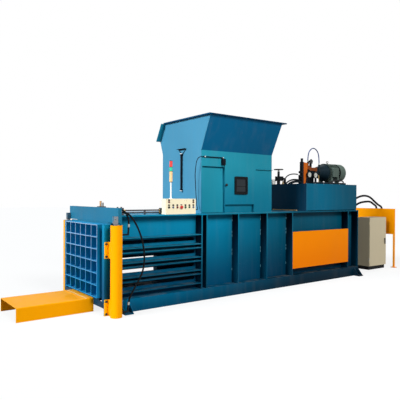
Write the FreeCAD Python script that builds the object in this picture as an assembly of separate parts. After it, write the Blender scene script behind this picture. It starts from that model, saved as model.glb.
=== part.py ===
"""Horizontal recycling baler: press body, rising gate, hopper, power unit and bale platform.

Millimetres, +Z up.  The origin is on the floor under the middle of the press body.
+X runs along the press to the main cylinder, -X to the gate, and -Y is the operator's side,
which every "near" piece belongs to.
"""
import math
import os

import FreeCAD
import Part

V = FreeCAD.Vector

# ---- press body -------------------------------------------------------------------------
BODY_LENGTH = 5440.0
CHAMBER_WIDTH = 1100.0
CHAMBER_HEIGHT = 1120.0
FLOOR_TOP = 200.0
FLOOR_PLATE = 20.0
WALL = 12.0
SIDE_DEPTH = 153.0
ROOF_PLATE = 20.0
BEAM_PLATE = 12.0
BEAM_FOOT_WIDTH = 100.0
SILL_BOTTOM = 100.0
FLOOR_RIB_PITCH = 660.0
FLOOR_RIB_COUNT = 9
SIDE_RIB = 20.0
MID_RIBS = (-1327.0, -1230.0, -575.0, 80.0, 727.0, 2378.0)
COVER_BOTTOM = 305.0
COVER_TOP = 971.0
COVER_SHEET = 4.0
COVER_FOLD = 25.0
COVER_NOTCH = 14.0
FOOT_INSET = 75.0
FOOT_SIZE = 130.0
FOOT_PLATE = 15.0
FOOT_GUSSET_HEIGHT = 150.0
ANCHOR_HOLE_RADIUS = 11.0

# ---- wire slots of the bale chamber -----------------------------------------------------
SLOT_COUNT = 4
SLOT_FIRST_Z = 342.0
SLOT_PITCH = 202.0
SLOT_HEIGHT = 54.0
SLOT_RIB_GAP = 131.0
SLOT_RIB = 12.0
SLOT_END_MARGIN = 30.0

# ---- gate and its posts -----------------------------------------------------------------
POST_DEPTH = 240.0
POST_HEIGHT = 1220.0
POST_LIP = 15.0
POST_LIP_WIDTH = 60.0
GUIDE_BAR = 40.0
GUIDE_REACH = 103.0
GATE_BACK_X = -2826.0
GATE_PLATE = 30.0
GATE_RUN_GAP = 4.0
GATE_SIDE_GAP = 8.0
GATE_BOTTOM = 215.0
GATE_TOP = 1235.0
GRID_DEPTH = 144.0
GRID_HALF_WIDTH = 570.0
GRID_BOTTOM = 220.0
GRID_TOP = 1218.0
GRID_CELLS = 6
GRID_RIB = 12.0

# ---- lifting beam over the gate ---------------------------------------------------------
BEAM_OVERHANG = 140.0
BEAM_DEPTH = 50.0
BEAM_BOTTOM = 1240.0
BEAM_TOP = 1445.0
BEAM_SHEET = 12.0
BEAM_TONGUE_HALF = 540.0
BEAM_TONGUE_DROP = 60.0
BEAM_STIFFENERS = (-600.0, -200.0, 200.0, 600.0)

# ---- gate cylinders ---------------------------------------------------------------------
LIFT_X = -2858.0
LIFT_STAND_OFF = 120.0
LIFT_ROD_RADIUS = 26.0
LIFT_BORE_RADIUS = 41.0
LIFT_BARREL_RADIUS = 49.0
LIFT_BARREL_TOP = 1180.0
LIFT_GLAND_TOP = 1212.0
LIFT_BASE = 60.0
LIFT_PISTON_Z = 110.0
LIFT_PISTON_LENGTH = 50.0
RUN_GAP = 0.3
FORK_WIDTH = 56.0
FORK_EAR = 13.0
FORK_TOP = 1335.0
FORK_BASE = 1232.0
LUG_THICKNESS = 22.0
LUG_GAP = 1.0
LIFT_PIN_RADIUS = 12.5
LIFT_PIN_Z = 1300.0
PORT_RADIUS = 13.0
PORT_ELBOWS = (((-2668.0, 1087.0), (-2662.0, 1186.0)), ((-2672.0, 50.0), (-2662.0, 135.0)))

GUARD_X = -2850.0
GUARD_STAND_OFF = 135.0
GUARD_RADIUS = 79.0
GUARD_SHEET = 5.0
GUARD_HEIGHT = 1217.0
GUARD_MOUTH = 90.0
LUG_SHEET = 6.0
LUG_OUTER_X = -2960.0
LUG_HEIGHT = 220.0
LUG_LEVELS = (0.0, 770.0)
LUG_BOLT_INSET = 26.0
LUG_BOLT_RADIUS = 8.0
LUG_BOLT_HEAD_RADIUS = 15.0
LUG_BOLT_HEAD = 10.0

# ---- ram and main cylinder --------------------------------------------------------------
RAM_FACE_X = 340.0
RAM_LENGTH = 1640.0
RAM_PLATEN = 50.0
RAM_SIDE_GAP = 10.0
RAM_ROOF_GAP = 15.0
RAM_FLOOR_GAP = 6.0
RAM_SHEET = 20.0
RAM_BULKHEAD_INSET = 60.0
RAM_GROOVE_DEPTH = 30.0
SHOE_WIDTH = 100.0
PRESS_AXIS_Z = 750.0
PRESS_ROD_RADIUS = 70.0
PRESS_BORE_RADIUS = 100.0
PRESS_BARREL_RADIUS = 120.0
PRESS_GLAND_RADIUS = 135.0
PRESS_GLAND_LENGTH = 60.0
PRESS_NOSE = 260.0
PRESS_TAIL_X = 4640.0
PRESS_CAP = 40.0
PRESS_FLANGE_RADIUS = 200.0
PRESS_FLANGE = 40.0
PRESS_PISTON = 80.0
PRESS_PISTON_STANDOFF = 100.0
ROD_FLANGE_RADIUS = 115.0
ROD_FLANGE = 30.0
END_PLATE = 25.0
END_PLATE_HALF = 640.0
PRESS_PORT_X = 4585.0
PRESS_PORT_RADIUS = 32.0
PRESS_PORT_HEIGHT = 106.0
PRESS_PORT_SPREAD = 60.0

# ---- rear stand -------------------------------------------------------------------------
STAND_X = 4284.0
STAND_HALF_WIDTH = 595.0
STAND_PANEL_BOTTOM = 760.0
STAND_TOP = 1345.0
STAND_SHEET = 6.0
STAND_LEG = 34.0
STAND_RETURN = 40.0
STAND_FOOT = 100.0
STAND_FOOT_PLATE = 12.0
STAND_COLLAR = 12.0
STAND_BORE_GAP = 1.0

# ---- hopper -----------------------------------------------------------------------------
CHUTE_FRONT = -1240.0
CHUTE_REAR = 340.0
CHUTE_SHEET = 8.0
BEND_Z = 2340.0
LIP_BEND_Z = 2575.0
HOPPER_TOP = 2873.0
NEAR_FLARE = 235.0
REAR_FLARE = 12.0
FAR_FLARE = 85.0
FAR_LIP_LEAN = 80.0
LIP_STRIP = 90.0
RIM_WIDTH = 42.0
RIM_SHEET = 18.0
REAR_RIM = 75.0
DOOR_LEFT = -1213.0
DOOR_RIGHT = -747.0
DOOR_TOP = 2090.0
DOOR_RECESS = 50.0
DOOR_GAP = 7.0
DOOR_SHEET = 8.0
DOOR_LIP = 20.0
DOOR_PIVOT_INSET = 10.0
HINGE_RADIUS = 9.0
HINGE_LENGTH = 45.0
HINGE_LEVELS = (1450.0, 1940.0)
NOTCH_LEFT = -739.0
NOTCH_RIGHT = -94.0
NOTCH_TOP = 1475.0
LEDGE_LEFT = -51.0
LEDGE_TOP = 2083.0
LEDGE_REACH = 28.0
LEDGE_SHEET = 8.0
WINDOW_LEFT = -540.0
WINDOW_RIGHT = -251.0
WINDOW_BOTTOM = 1643.0
WINDOW_TOP = 1943.0
WINDOW_FRAME = 36.0
WINDOW_DEPTH = 20.0
WINDOW_CORNER = 22.0
PANE = 6.0

# ---- switches, sensor and signal tower --------------------------------------------------
SWITCH_X = -797.0
SWITCH_Z = 2172.0
SWITCH_SIZE = (62.0, 46.0, 100.0)
CONDUIT_RADIUS = 9.0
CONDUIT_STANDOFF = 13.0
CONDUIT_LEFT = -1205.0
CONDUIT_Z = 2237.0
SENSOR_Y = -45.0
SENSOR_RADIUS = 15.0
SENSOR_BOTTOM = 1690.0
SENSOR_TOP = 2300.0
SENSOR_STANDOFF = 6.0
SENSOR_GAP = 2.0
BRACKET_HALF = 118.0
BRACKET_TOP = 2392.0
BRACKET_BAR = 12.0
BOX_LEFT = -1993.0
BOX_RIGHT = -1451.0
BOX_FRONT_Y = -715.0
BOX_DEPTH = 110.0
BOX_HEIGHT = 230.0
BOX_SHEET = 4.0
CONTROL_ROW_Z = 1443.0
CONTROL_FIRST_X = -1937.0
CONTROL_PITCH = 73.3
STEM_RADIUS = 8.0
STEM_GAP = 0.5
STEM_LENGTH = 26.0
BUTTON_RADIUS = 14.0
BUTTON_CAP = 12.0
BUTTON_TRAVEL_GAP = 7.0
MUSHROOM_RADIUS = 24.0
MUSHROOM_CAP = 18.0
TOWER_X = -1866.0
TOWER_Y = -655.0
TOWER_POLE_RADIUS = 12.0
TOWER_POLE_TOP = 1822.0
LENS_RADIUS = 24.0
LENS_LEVELS = ((1822.0, 1972.0), (1980.0, 2034.0), (2042.0, 2126.0))

# ---- power unit -------------------------------------------------------------------------
TANK_LEFT = 1150.0
TANK_RIGHT = 2718.0
TANK_NEAR = -670.0
TANK_FAR = 330.0
TANK_TOP = 1860.0
TANK_SHEET = 5.0
SKID_HEIGHT = 12.0
SKID_WIDTH = 60.0
MOTOR_Y = -240.0
MOTOR_Z = 2115.0
MOTOR_LEFT = 2180.0
MOTOR_RIGHT = 2722.0
MOTOR_CORE = 160.0
MOTOR_FIN_TIP = 184.0
MOTOR_FIN = 5.0
MOTOR_FIN_COUNT = 32
COWL_LEFT = 2515.0
COWL_RADIUS = 186.0
MOTOR_FOOT = 50.0
PUMP_RADIUS = 84.0
PUMP_LENGTH = 225.0
EYE_X = 2310.0
TERMINAL_LEFT = 2250.0
TERMINAL_RIGHT = 2425.0
BELL_RADIUS = 168.0
BELL_LENGTH = 235.0
VALVE_LEFT = 1380.0
VALVE_NEAR = -360.0
VALVE_BLOCK = 54.0
CASTING_DEPTH = 96.0
VALVE_TOP = 2295.0
GAUGE_RADIUS = 58.0
GAUGE_DEPTH = 32.0
GAUGES = ((1558.0, 2045.0), (1740.0, 2038.0))
GAUGE_Y = -372.0
CASTING_LENGTH = 117.0
CASTING_TOP = 2290.0
KNOB_X = 1640.0
KNOB_Z = 2310.0
KNOB_RADIUS = 48.0
KNOB_LOBE = 15.0
KNOB_LOBES = 5
KNOB_THICKNESS = 26.0
KNOB_SPINDLE = 9.0
RETURN_X = 1255.0
RETURN_Y = 140.0
FILTER_X = 1205.0
FILTER_Y = 236.0
FILTER_TOP = 1958.0
WHEEL_Z = 2150.0
WHEEL_RADIUS = 96.0
WHEEL_RIM = 17.0
WHEEL_THICKNESS = 18.0
STEM_BORE_GAP = 0.3

# ---- electrical cabinet -----------------------------------------------------------------
CABINET_LEFT = 3470.0
CABINET_WIDTH = 637.0
CABINET_FRONT_Y = -475.0
CABINET_DEPTH = 300.0
CABINET_TOP = 1157.0
CABINET_SHEET = 4.0
PLINTH = 78.0
PLINTH_INSET = 12.0
CABINET_DOOR = 20.0
CABINET_DOOR_GAP = 1.0
HANDLE_X = 4045.0
HANDLE_TOP = 682.0
HANDLE_BOTTOM = 552.0

# ---- bale platform ----------------------------------------------------------------------
PLATFORM_LEFT = -4000.0
PLATFORM_HALF = 376.0
PLATFORM_TOP = 187.0
PLATFORM_SHEET = 6.0
PLATFORM_FOLD = 12.0
FLAP_LEFT = -3095.0
FLAP_HALF = 358.0
FLAP_SHEET = 3.0

# ---- roof pipework and hoses ------------------------------------------------------------
PIPE_RADIUS = 11.0
PIPE_LEVELS = (1368.0, 1402.0)
PIPE_Y = -552.0
PIPE_REST_X = -2250.0
JUNCTION_X = -2620.0
JUNCTION_Y = 110.0
MANIFOLD_LEFT = -2712.0
MANIFOLD_RIGHT = -2600.0
MANIFOLD_NEAR = -578.0
MANIFOLD_FAR = -524.0
MANIFOLD_TOP = 1440.0

LIFT_HOSE_RADIUS = 12.0
PRESS_HOSE_RADIUS = 22.0
PUMP_HOSE_RADIUS = 10.0
SWITCH_CABLE_RADIUS = 6.0
CORD_BLEND = 0.45
UPPER_ROUTE = ((-2688.0, -592.0, 1422.0), (-2688.0, -690.0, 1422.0), (-2670.0, -780.0, 1375.0),
               (-2655.4, -835.0, 1295.0), (-2662.0, -835.0, 1186.0))
LOWER_ROUTE = ((-2650.0, -592.0, 1384.0), (-2650.0, -680.0, 1384.0), (-2618.0, -775.0, 1356.0),
               (-2560.0, -832.0, 1250.0), (-2490.0, -842.0, 1105.0), (-2438.0, -846.0, 935.0),
               (-2418.0, -846.0, 735.0), (-2442.0, -843.0, 570.0), (-2515.0, -838.0, 435.0),
               (-2597.0, -835.0, 310.0), (-2652.0, -835.0, 220.0), (-2662.0, -835.0, 135.0))
PRESS_UPPER_ROUTE = ((2718.0, -300.0, 1470.0), (2930.0, -300.0, 1470.0), (3130.0, -290.0, 1530.0),
                     (3350.0, -280.0, 1615.0), (3600.0, -270.0, 1650.0), (3830.0, -263.0, 1615.0),
                     (4010.0, -260.0, 1512.0), (4170.0, -257.0, 1430.0), (4330.0, -240.0, 1388.0),
                     (4480.0, -165.0, 1300.0), (4555.0, -85.0, 1190.0), (4585.0, -60.0, 1075.0),
                     (4585.0, -60.0, 976.0))
PRESS_LOWER_ROUTE = ((2718.0, -380.0, 1370.0), (2930.0, -380.0, 1370.0), (3110.0, -360.0, 1420.0),
                     (3330.0, -325.0, 1485.0), (3600.0, -285.0, 1508.0), (3870.0, -240.0, 1512.0),
                     (4090.0, -190.0, 1445.0), (4290.0, -130.0, 1400.0), (4440.0, -40.0, 1330.0),
                     (4545.0, 30.0, 1225.0), (4585.0, 60.0, 1100.0), (4585.0, 60.0, 976.0))
PUMP_ROUTE = ((1581.0, -336.0, 2300.0), (1581.0, -336.0, 2400.0), (1625.0, -335.0, 2530.0),
              (1760.0, -332.0, 2600.0), (1895.0, -328.0, 2530.0), (1940.0, -325.0, 2400.0),
              (1940.0, -325.0, 2262.0))
CABLE_ROUTE = ((-1205.0, -575.0, 2237.0), (-1278.0, -575.0, 2237.0), (-1322.0, -560.0, 2175.0),
               (-1322.0, -535.0, 2080.0), (-1318.0, -510.0, 1960.0), (-1304.0, -502.0, 1830.0),
               (-1294.0, -502.0, 1690.0), (-1284.0, -504.0, 1550.0), (-1282.0, -515.0, 1455.0),
               (-1308.0, -572.0, 1404.0), (-1372.0, -640.0, 1400.0), (-1451.0, -640.0, 1400.0))

# ---- worked out from the sizes above ----------------------------------------------------
FRONT = -BODY_LENGTH / 2
REAR = BODY_LENGTH / 2
HALF_CHAMBER = CHAMBER_WIDTH / 2
WALL_OUT = HALF_CHAMBER + WALL
HALF_BODY = WALL_OUT + SIDE_DEPTH
BEAM_HALF_WIDTH = HALF_BODY + BEAM_OVERHANG
LIFT_Y = HALF_BODY + LIFT_STAND_OFF
GUARD_Y = HALF_BODY + GUARD_STAND_OFF
BEAM_HEIGHT = FLOOR_TOP - FLOOR_PLATE
ROOF_UNDER = FLOOR_TOP + CHAMBER_HEIGHT
ROOF_TOP = ROOF_UNDER + ROOF_PLATE
POST_FRONT = FRONT - POST_DEPTH
WEB_IN = HALF_BODY - BEAM_PLATE
GATE_FRONT_X = GATE_BACK_X - GATE_PLATE
MOUTH_X = GATE_BACK_X + GATE_RUN_GAP
SLOT_SECTION_END = MID_RIBS[0] - SIDE_RIB / 2
DOOR_PLANE = -WALL_OUT + DOOR_RECESS


# ---- small helpers ----------------------------------------------------------------------
def box(x0, x1, y0, y1, z0, z1):
    """Rectangular block between two corners."""
    return Part.makeBox(x1 - x0, y1 - y0, z1 - z0, V(x0, y0, z0))


def rod(radius, start, end):
    """Round bar from start to end."""
    axis = V(*end) - V(*start)
    return Part.makeCylinder(radius, axis.Length, V(*start), axis)


def pipe(outer, inner, start, end):
    """Round tube from start to end."""
    return rod(outer, start, end).cut(rod(inner, start, end))


def prism(points, push):
    """Polygon given by its corners, pushed along a vector."""
    corners = [V(*point) for point in points]
    wire = Part.makePolygon(corners + corners[:1])
    return Part.Face(wire).extrude(V(*push))


def fuse(pieces):
    """Weld pieces that touch into one solid."""
    return pieces[0].multiFuse(pieces[1:]).removeSplitter()


def group(pieces):
    """Separate solids kept in one node."""
    return Part.makeCompound(pieces)


def far(shape):
    """The same piece on the far side of the machine."""
    return shape.mirror(V(0, 0, 0), V(0, 1, 0))


def slot_centres():
    """Heights of the wire slots."""
    return [SLOT_FIRST_Z + index * SLOT_PITCH for index in range(SLOT_COUNT)]


def save(name, shape):
    """Write one node."""
    shape.exportStep("parts/%s.step" % name)


# ---- press body -------------------------------------------------------------------------
def corner_foot(centre_x):
    """Drilled base plate with a triangular gusset, on the near side."""
    half = FOOT_SIZE / 2
    outer_y = -HALF_BODY - FOOT_SIZE
    plate = box(centre_x - half, centre_x + half, outer_y, -HALF_BODY, 0, FOOT_PLATE)
    hole_y = -HALF_BODY - half
    plate = plate.cut(rod(ANCHOR_HOLE_RADIUS, (centre_x, hole_y, -1), (centre_x, hole_y, FOOT_PLATE + 1)))
    gussets = []
    for edge_x in (centre_x - half, centre_x + half - BEAM_PLATE):
        triangle = ((edge_x, -HALF_BODY, FOOT_PLATE), (edge_x, outer_y + BEAM_PLATE, FOOT_PLATE),
                    (edge_x, -HALF_BODY, FOOT_PLATE + FOOT_GUSSET_HEIGHT))
        gussets.append(prism(triangle, (BEAM_PLATE, 0, 0)))
    return [plate] + gussets


def base_beam():
    """Side channel of the base with its two anchor feet, on the near side."""
    web = box(FRONT, REAR, -HALF_BODY, -WEB_IN, 0, BEAM_HEIGHT)
    top = box(FRONT, REAR, -WEB_IN, -HALF_CHAMBER, BEAM_HEIGHT - BEAM_PLATE, BEAM_HEIGHT)
    bottom = box(FRONT, REAR, -WEB_IN, -WEB_IN + BEAM_FOOT_WIDTH, 0, BEAM_PLATE)
    feet = corner_foot(FRONT + FOOT_INSET) + corner_foot(REAR - FOOT_INSET)
    return fuse([web, top, bottom] + feet)


def chamber_floor():
    """Floor plate on cross ribs, the middle one standing on the ground, with the sill under the gate."""
    plate = box(POST_FRONT, REAR, -HALF_CHAMBER, HALF_CHAMBER, BEAM_HEIGHT, FLOOR_TOP)
    pieces = [plate]
    middle = (FLOOR_RIB_COUNT - 1) / 2
    for index in range(FLOOR_RIB_COUNT):
        x = (index - middle) * FLOOR_RIB_PITCH
        bottom = 0 if index == middle else SILL_BOTTOM
        pieces.append(box(x - WALL / 2, x + WALL / 2, -HALF_CHAMBER, HALF_CHAMBER, bottom, BEAM_HEIGHT))
    pieces.append(box(POST_FRONT, POST_FRONT + POST_LIP, -WEB_IN, WEB_IN, SILL_BOTTOM, BEAM_HEIGHT))
    return fuse(pieces)


def side_wall():
    """Chamber wall on the near side, with the wire slots at the gate end."""
    body = box(FRONT, REAR, -WALL_OUT, -HALF_CHAMBER, BEAM_HEIGHT, ROOF_UNDER)
    mouth = box(MOUTH_X, FRONT, -WALL_OUT, -HALF_CHAMBER, FLOOR_TOP, POST_HEIGHT)
    wall = fuse([body, mouth])
    left = FRONT + SLOT_END_MARGIN
    right = SLOT_SECTION_END - SLOT_END_MARGIN
    half = SLOT_HEIGHT / 2
    for centre in slot_centres():
        wall = wall.cut(box(left, right, -WALL_OUT - 1, -HALF_CHAMBER + 1, centre - half, centre + half))
    return wall


def side_ribs():
    """Upright rib plates, and the shelf plates above and below each wire slot."""
    stations = (FRONT + SIDE_RIB / 2,) + MID_RIBS + (REAR - SIDE_RIB / 2,)
    ribs = [box(x - SIDE_RIB / 2, x + SIDE_RIB / 2, -HALF_BODY, -WALL_OUT, BEAM_HEIGHT, ROOF_UNDER)
            for x in stations]
    offset = (SLOT_RIB_GAP + SLOT_RIB) / 2
    for centre in slot_centres():
        for z in (centre - offset, centre + offset):
            ribs.append(box(FRONT + SIDE_RIB, SLOT_SECTION_END, -HALF_BODY, -WALL_OUT,
                            z - SLOT_RIB / 2, z + SLOT_RIB / 2))
    return group(ribs)


def roof(x0, x1):
    """Roof plate that also forms the top flange of both sides."""
    return box(x0, x1, -HALF_BODY, HALF_BODY, ROOF_UNDER, ROOF_TOP)


def side_cover():
    """Pressed cover over the two rear bays, with its upper and lower edges folded in."""
    left = MID_RIBS[4] + 5
    right = MID_RIBS[5] - 4
    outer_y = -HALF_BODY - COVER_SHEET
    pieces = [box(left, right, outer_y, -HALF_BODY, COVER_BOTTOM, COVER_TOP)]
    for z in (COVER_BOTTOM, COVER_TOP - COVER_SHEET):
        pieces.append(box(left + COVER_NOTCH, right - COVER_NOTCH, -HALF_BODY, -HALF_BODY + COVER_FOLD,
                          z, z + COVER_SHEET))
    return fuse(pieces)


def gate_post():
    """Near gate post: web, front lip and the two bars that the gate runs between."""
    web = box(POST_FRONT, FRONT, -HALF_BODY, -WEB_IN, 0, POST_HEIGHT)
    lip = box(POST_FRONT, POST_FRONT + POST_LIP, -WEB_IN, -WEB_IN + POST_LIP_WIDTH, BEAM_HEIGHT, POST_HEIGHT)
    reach = -WEB_IN + GUIDE_REACH
    front_bar_x = GATE_FRONT_X - GATE_RUN_GAP
    front_bar = box(front_bar_x - GUIDE_BAR, front_bar_x, -WEB_IN, reach, BEAM_HEIGHT, POST_HEIGHT)
    rear_bar = box(MOUTH_X, MOUTH_X + GUIDE_BAR, -WEB_IN, reach, BEAM_HEIGHT, POST_HEIGHT)
    return fuse([web, lip, front_bar, rear_bar])


# ---- gate -------------------------------------------------------------------------------
def door_plate():
    """Gate plate that runs between the posts."""
    half = WEB_IN - GATE_SIDE_GAP
    return box(GATE_FRONT_X, GATE_BACK_X, -half, half, GATE_BOTTOM, GATE_TOP)


def door_grid():
    """Egg-crate stiffening on the front of the gate."""
    left = GATE_FRONT_X - GRID_DEPTH
    half_rib = GRID_RIB / 2
    width_step = (2 * GRID_HALF_WIDTH - GRID_RIB) / GRID_CELLS
    height_step = (GRID_TOP - GRID_BOTTOM - GRID_RIB) / GRID_CELLS
    pieces = []
    for index in range(GRID_CELLS + 1):
        y = -GRID_HALF_WIDTH + half_rib + index * width_step
        pieces.append(box(left, GATE_FRONT_X, y - half_rib, y + half_rib, GRID_BOTTOM, GRID_TOP))
        z = GRID_BOTTOM + half_rib + index * height_step
        pieces.append(box(left, GATE_FRONT_X, -GRID_HALF_WIDTH, GRID_HALF_WIDTH, z - half_rib, z + half_rib))
    return fuse(pieces)


def lifting_beam():
    """Channel over the gate, with the tongue welded to the gate plate and a lug for each rod."""
    front = GATE_BACK_X
    back = front + BEAM_DEPTH
    sheet = BEAM_SHEET
    half = BEAM_HALF_WIDTH
    pieces = [
        box(front, front + sheet, -half, half, BEAM_BOTTOM, BEAM_TOP),
        box(front, back, -half, half, BEAM_TOP - sheet, BEAM_TOP),
        box(front, back, -half, half, BEAM_BOTTOM, BEAM_BOTTOM + sheet),
        box(front, front + sheet, -BEAM_TONGUE_HALF, BEAM_TONGUE_HALF,
            BEAM_BOTTOM - BEAM_TONGUE_DROP, BEAM_BOTTOM),
    ]
    for y in (-half + sheet / 2, half - sheet / 2) + BEAM_STIFFENERS:
        pieces.append(box(front, back, y - sheet / 2, y + sheet / 2, BEAM_BOTTOM, BEAM_TOP))
    ear_half = FORK_WIDTH / 2
    for y in (-LIFT_Y, LIFT_Y):
        lug = box(LIFT_X - ear_half, front, y - LUG_THICKNESS / 2, y + LUG_THICKNESS / 2,
                  LIFT_PIN_Z - ear_half, LIFT_PIN_Z + ear_half)
        bore = rod(LIFT_PIN_RADIUS + RUN_GAP, (LIFT_X, y - LUG_THICKNESS, LIFT_PIN_Z),
                   (LIFT_X, y + LUG_THICKNESS, LIFT_PIN_Z))
        pieces.append(lug.cut(bore))
    return fuse(pieces)


def lift_rod():
    """Near gate rod with piston, forked end and its pin."""
    y = -LIFT_Y
    shaft = rod(LIFT_ROD_RADIUS, (LIFT_X, y, LIFT_PISTON_Z), (LIFT_X, y, FORK_BASE))
    piston = rod(LIFT_BORE_RADIUS - RUN_GAP, (LIFT_X, y, LIFT_PISTON_Z),
                 (LIFT_X, y, LIFT_PISTON_Z + LIFT_PISTON_LENGTH))
    half = FORK_WIDTH / 2
    inner = LUG_THICKNESS / 2 + LUG_GAP
    outer = inner + FORK_EAR
    block = box(LIFT_X - half, LIFT_X + half, y - outer, y + outer, FORK_BASE, FORK_TOP)
    gap = box(LIFT_X - half - 1, LIFT_X + half + 1, y - inner, y + inner,
              LIFT_PIN_Z - half - LUG_GAP, FORK_TOP + 1)
    fork = block.cut(gap)
    bore = rod(LIFT_PIN_RADIUS + RUN_GAP, (LIFT_X, y - outer - 1, LIFT_PIN_Z),
               (LIFT_X, y + outer + 1, LIFT_PIN_Z))
    body = fuse([shaft, piston, fork]).cut(bore)
    pin = rod(LIFT_PIN_RADIUS, (LIFT_X, y - outer - 6, LIFT_PIN_Z), (LIFT_X, y + outer + 6, LIFT_PIN_Z))
    return group([body, pin])


def port_elbow(corner, tip):
    """Hose connection of a gate cylinder: out along +X to a corner, then up to a tip."""
    y = -LIFT_Y
    corner_x, z = corner
    tip_x, tip_z = tip
    out = rod(PORT_RADIUS, (LIFT_X + LIFT_BORE_RADIUS + 4, y, z), (corner_x, y, z))
    knuckle = Part.makeSphere(PORT_RADIUS, V(corner_x, y, z))
    rise = rod(PORT_RADIUS, (corner_x, y, z), (tip_x, y, tip_z))
    return [out, knuckle, rise]


def door_cylinder():
    """Near gate cylinder: barrel, base, gland and hose elbows."""
    y = -LIFT_Y
    barrel = pipe(LIFT_BARREL_RADIUS, LIFT_BORE_RADIUS, (LIFT_X, y, LIFT_BASE), (LIFT_X, y, LIFT_BARREL_TOP))
    base = rod(LIFT_BARREL_RADIUS, (LIFT_X, y, 0), (LIFT_X, y, LIFT_BASE))
    gland = pipe(LIFT_BARREL_RADIUS + 4, LIFT_ROD_RADIUS + RUN_GAP, (LIFT_X, y, LIFT_BARREL_TOP),
                 (LIFT_X, y, LIFT_GLAND_TOP))
    pieces = [barrel, base, gland]
    for corner, tip in PORT_ELBOWS:
        pieces += port_elbow(corner, tip)
    return fuse(pieces)


def guard_shell():
    """Round sheet round the near gate cylinder, open towards the post."""
    shell = pipe(GUARD_RADIUS, GUARD_RADIUS - GUARD_SHEET,
                 (GUARD_X, -GUARD_Y, 0), (GUARD_X, -GUARD_Y, GUARD_HEIGHT))
    half = GUARD_MOUTH / 2
    shell = shell.cut(box(GUARD_X - half, GUARD_X + half, -GUARD_Y, -GUARD_Y + GUARD_RADIUS + 1,
                          -1, GUARD_HEIGHT + 1))
    for corner, _ in PORT_ELBOWS:
        z = corner[1]
        beyond = GUARD_X + GUARD_RADIUS + 9
        shell = shell.cut(rod(PORT_RADIUS + 6, (GUARD_X, -LIFT_Y, z), (beyond, -LIFT_Y, z)))
    return shell


def guard_lug(z, side):
    """Bolting lug of the guard, on its gate side (-1) or its press side (+1)."""
    half = GUARD_MOUTH / 2
    root_y = -GUARD_Y + math.sqrt(GUARD_RADIUS ** 2 - half ** 2) - 2 * GUARD_SHEET
    reach = GUARD_X - LUG_OUTER_X
    inner_x = half - GUARD_SHEET
    faces = ((inner_x, reach, -HALF_BODY - LUG_SHEET, -HALF_BODY),
             (inner_x, half + GUARD_SHEET, root_y, -HALF_BODY))
    lug = []
    for near_x, far_x, y0, y1 in faces:
        x0, x1 = sorted((GUARD_X + side * near_x, GUARD_X + side * far_x))
        lug.append(box(x0, x1, y0, y1, z, z + LUG_HEIGHT))
    return lug


def cylinder_guard():
    """Near cylinder guard with its lugs."""
    pieces = [guard_shell()]
    for z in LUG_LEVELS:
        for side in (-1, 1):
            pieces += guard_lug(z, side)
    return fuse(pieces)


def guard_bolts():
    """Bolt heads that hold the guards to the posts."""
    heads = []
    reach = GUARD_X - LUG_OUTER_X - LUG_BOLT_INSET
    face = -HALF_BODY - LUG_SHEET
    for level in LUG_LEVELS:
        for z in (level + LUG_BOLT_INSET, level + LUG_HEIGHT - LUG_BOLT_INSET):
            for x in (GUARD_X - reach, GUARD_X + reach):
                head = rod(LUG_BOLT_HEAD_RADIUS, (x, face, z), (x, face - LUG_BOLT_HEAD, z))
                heads += [head, far(head)]
    return group(heads)


# ---- ram and main cylinder --------------------------------------------------------------
def ram_head():
    """Ram: grooved platen, box body open at the back, bulkhead and floor shoes."""
    x0 = RAM_FACE_X
    x1 = RAM_FACE_X + RAM_LENGTH
    half = HALF_CHAMBER - RAM_SIDE_GAP
    bottom = FLOOR_TOP + RAM_FLOOR_GAP
    top = ROOF_UNDER - RAM_ROOF_GAP
    platen = box(x0, x0 + RAM_PLATEN, -half, half, bottom, top)
    groove_half = SLOT_HEIGHT / 2
    back = x1 - RAM_BULKHEAD_INSET
    bulkhead = box(back - RAM_SHEET, back, -half, half, bottom, top)
    sheets = [
        box(x0, x1, -half, half, bottom, bottom + RAM_SHEET),
        box(x0, x1, -half, half, top - RAM_SHEET, top),
        box(x0, x1, -half, -half + RAM_SHEET, bottom, top),
        box(x0, x1, half - RAM_SHEET, half, bottom, top),
    ]
    grooves = []
    for centre in slot_centres():
        grooves.append(box(x0 - 1, x0 + RAM_GROOVE_DEPTH, -half - 1, half + 1,
                           centre - groove_half, centre + groove_half))
    shoes = []
    for y in (-half, half - SHOE_WIDTH):
        shoes.append(box(x0 + RAM_PLATEN, x1, y, y + SHOE_WIDTH, FLOOR_TOP + RUN_GAP, bottom))
    body = fuse([platen, bulkhead] + sheets + shoes)
    for groove in grooves:
        body = body.cut(groove)
    return body


def ram_rod():
    """Main rod with the flange bolted to the ram and the piston in the barrel."""
    z = PRESS_AXIS_Z
    front = RAM_FACE_X + RAM_LENGTH - RAM_BULKHEAD_INSET
    piston_end = PRESS_TAIL_X - PRESS_PISTON_STANDOFF
    piston_front = piston_end - PRESS_PISTON
    flange = rod(ROD_FLANGE_RADIUS, (front, 0, z), (front + ROD_FLANGE, 0, z))
    shaft = rod(PRESS_ROD_RADIUS, (front, 0, z), (piston_end, 0, z))
    piston = rod(PRESS_BORE_RADIUS - RUN_GAP, (piston_front, 0, z), (piston_end, 0, z))
    return fuse([flange, shaft, piston])


def end_frame():
    """Rear plate of the press, bored for the main cylinder."""
    z = PRESS_AXIS_Z
    plate = box(REAR, REAR + END_PLATE, -END_PLATE_HALF, END_PLATE_HALF, BEAM_HEIGHT, ROOF_UNDER)
    bore = rod(PRESS_BARREL_RADIUS + 1, (REAR - 1, 0, z), (REAR + END_PLATE + 1, 0, z))
    return plate.cut(bore)


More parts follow.
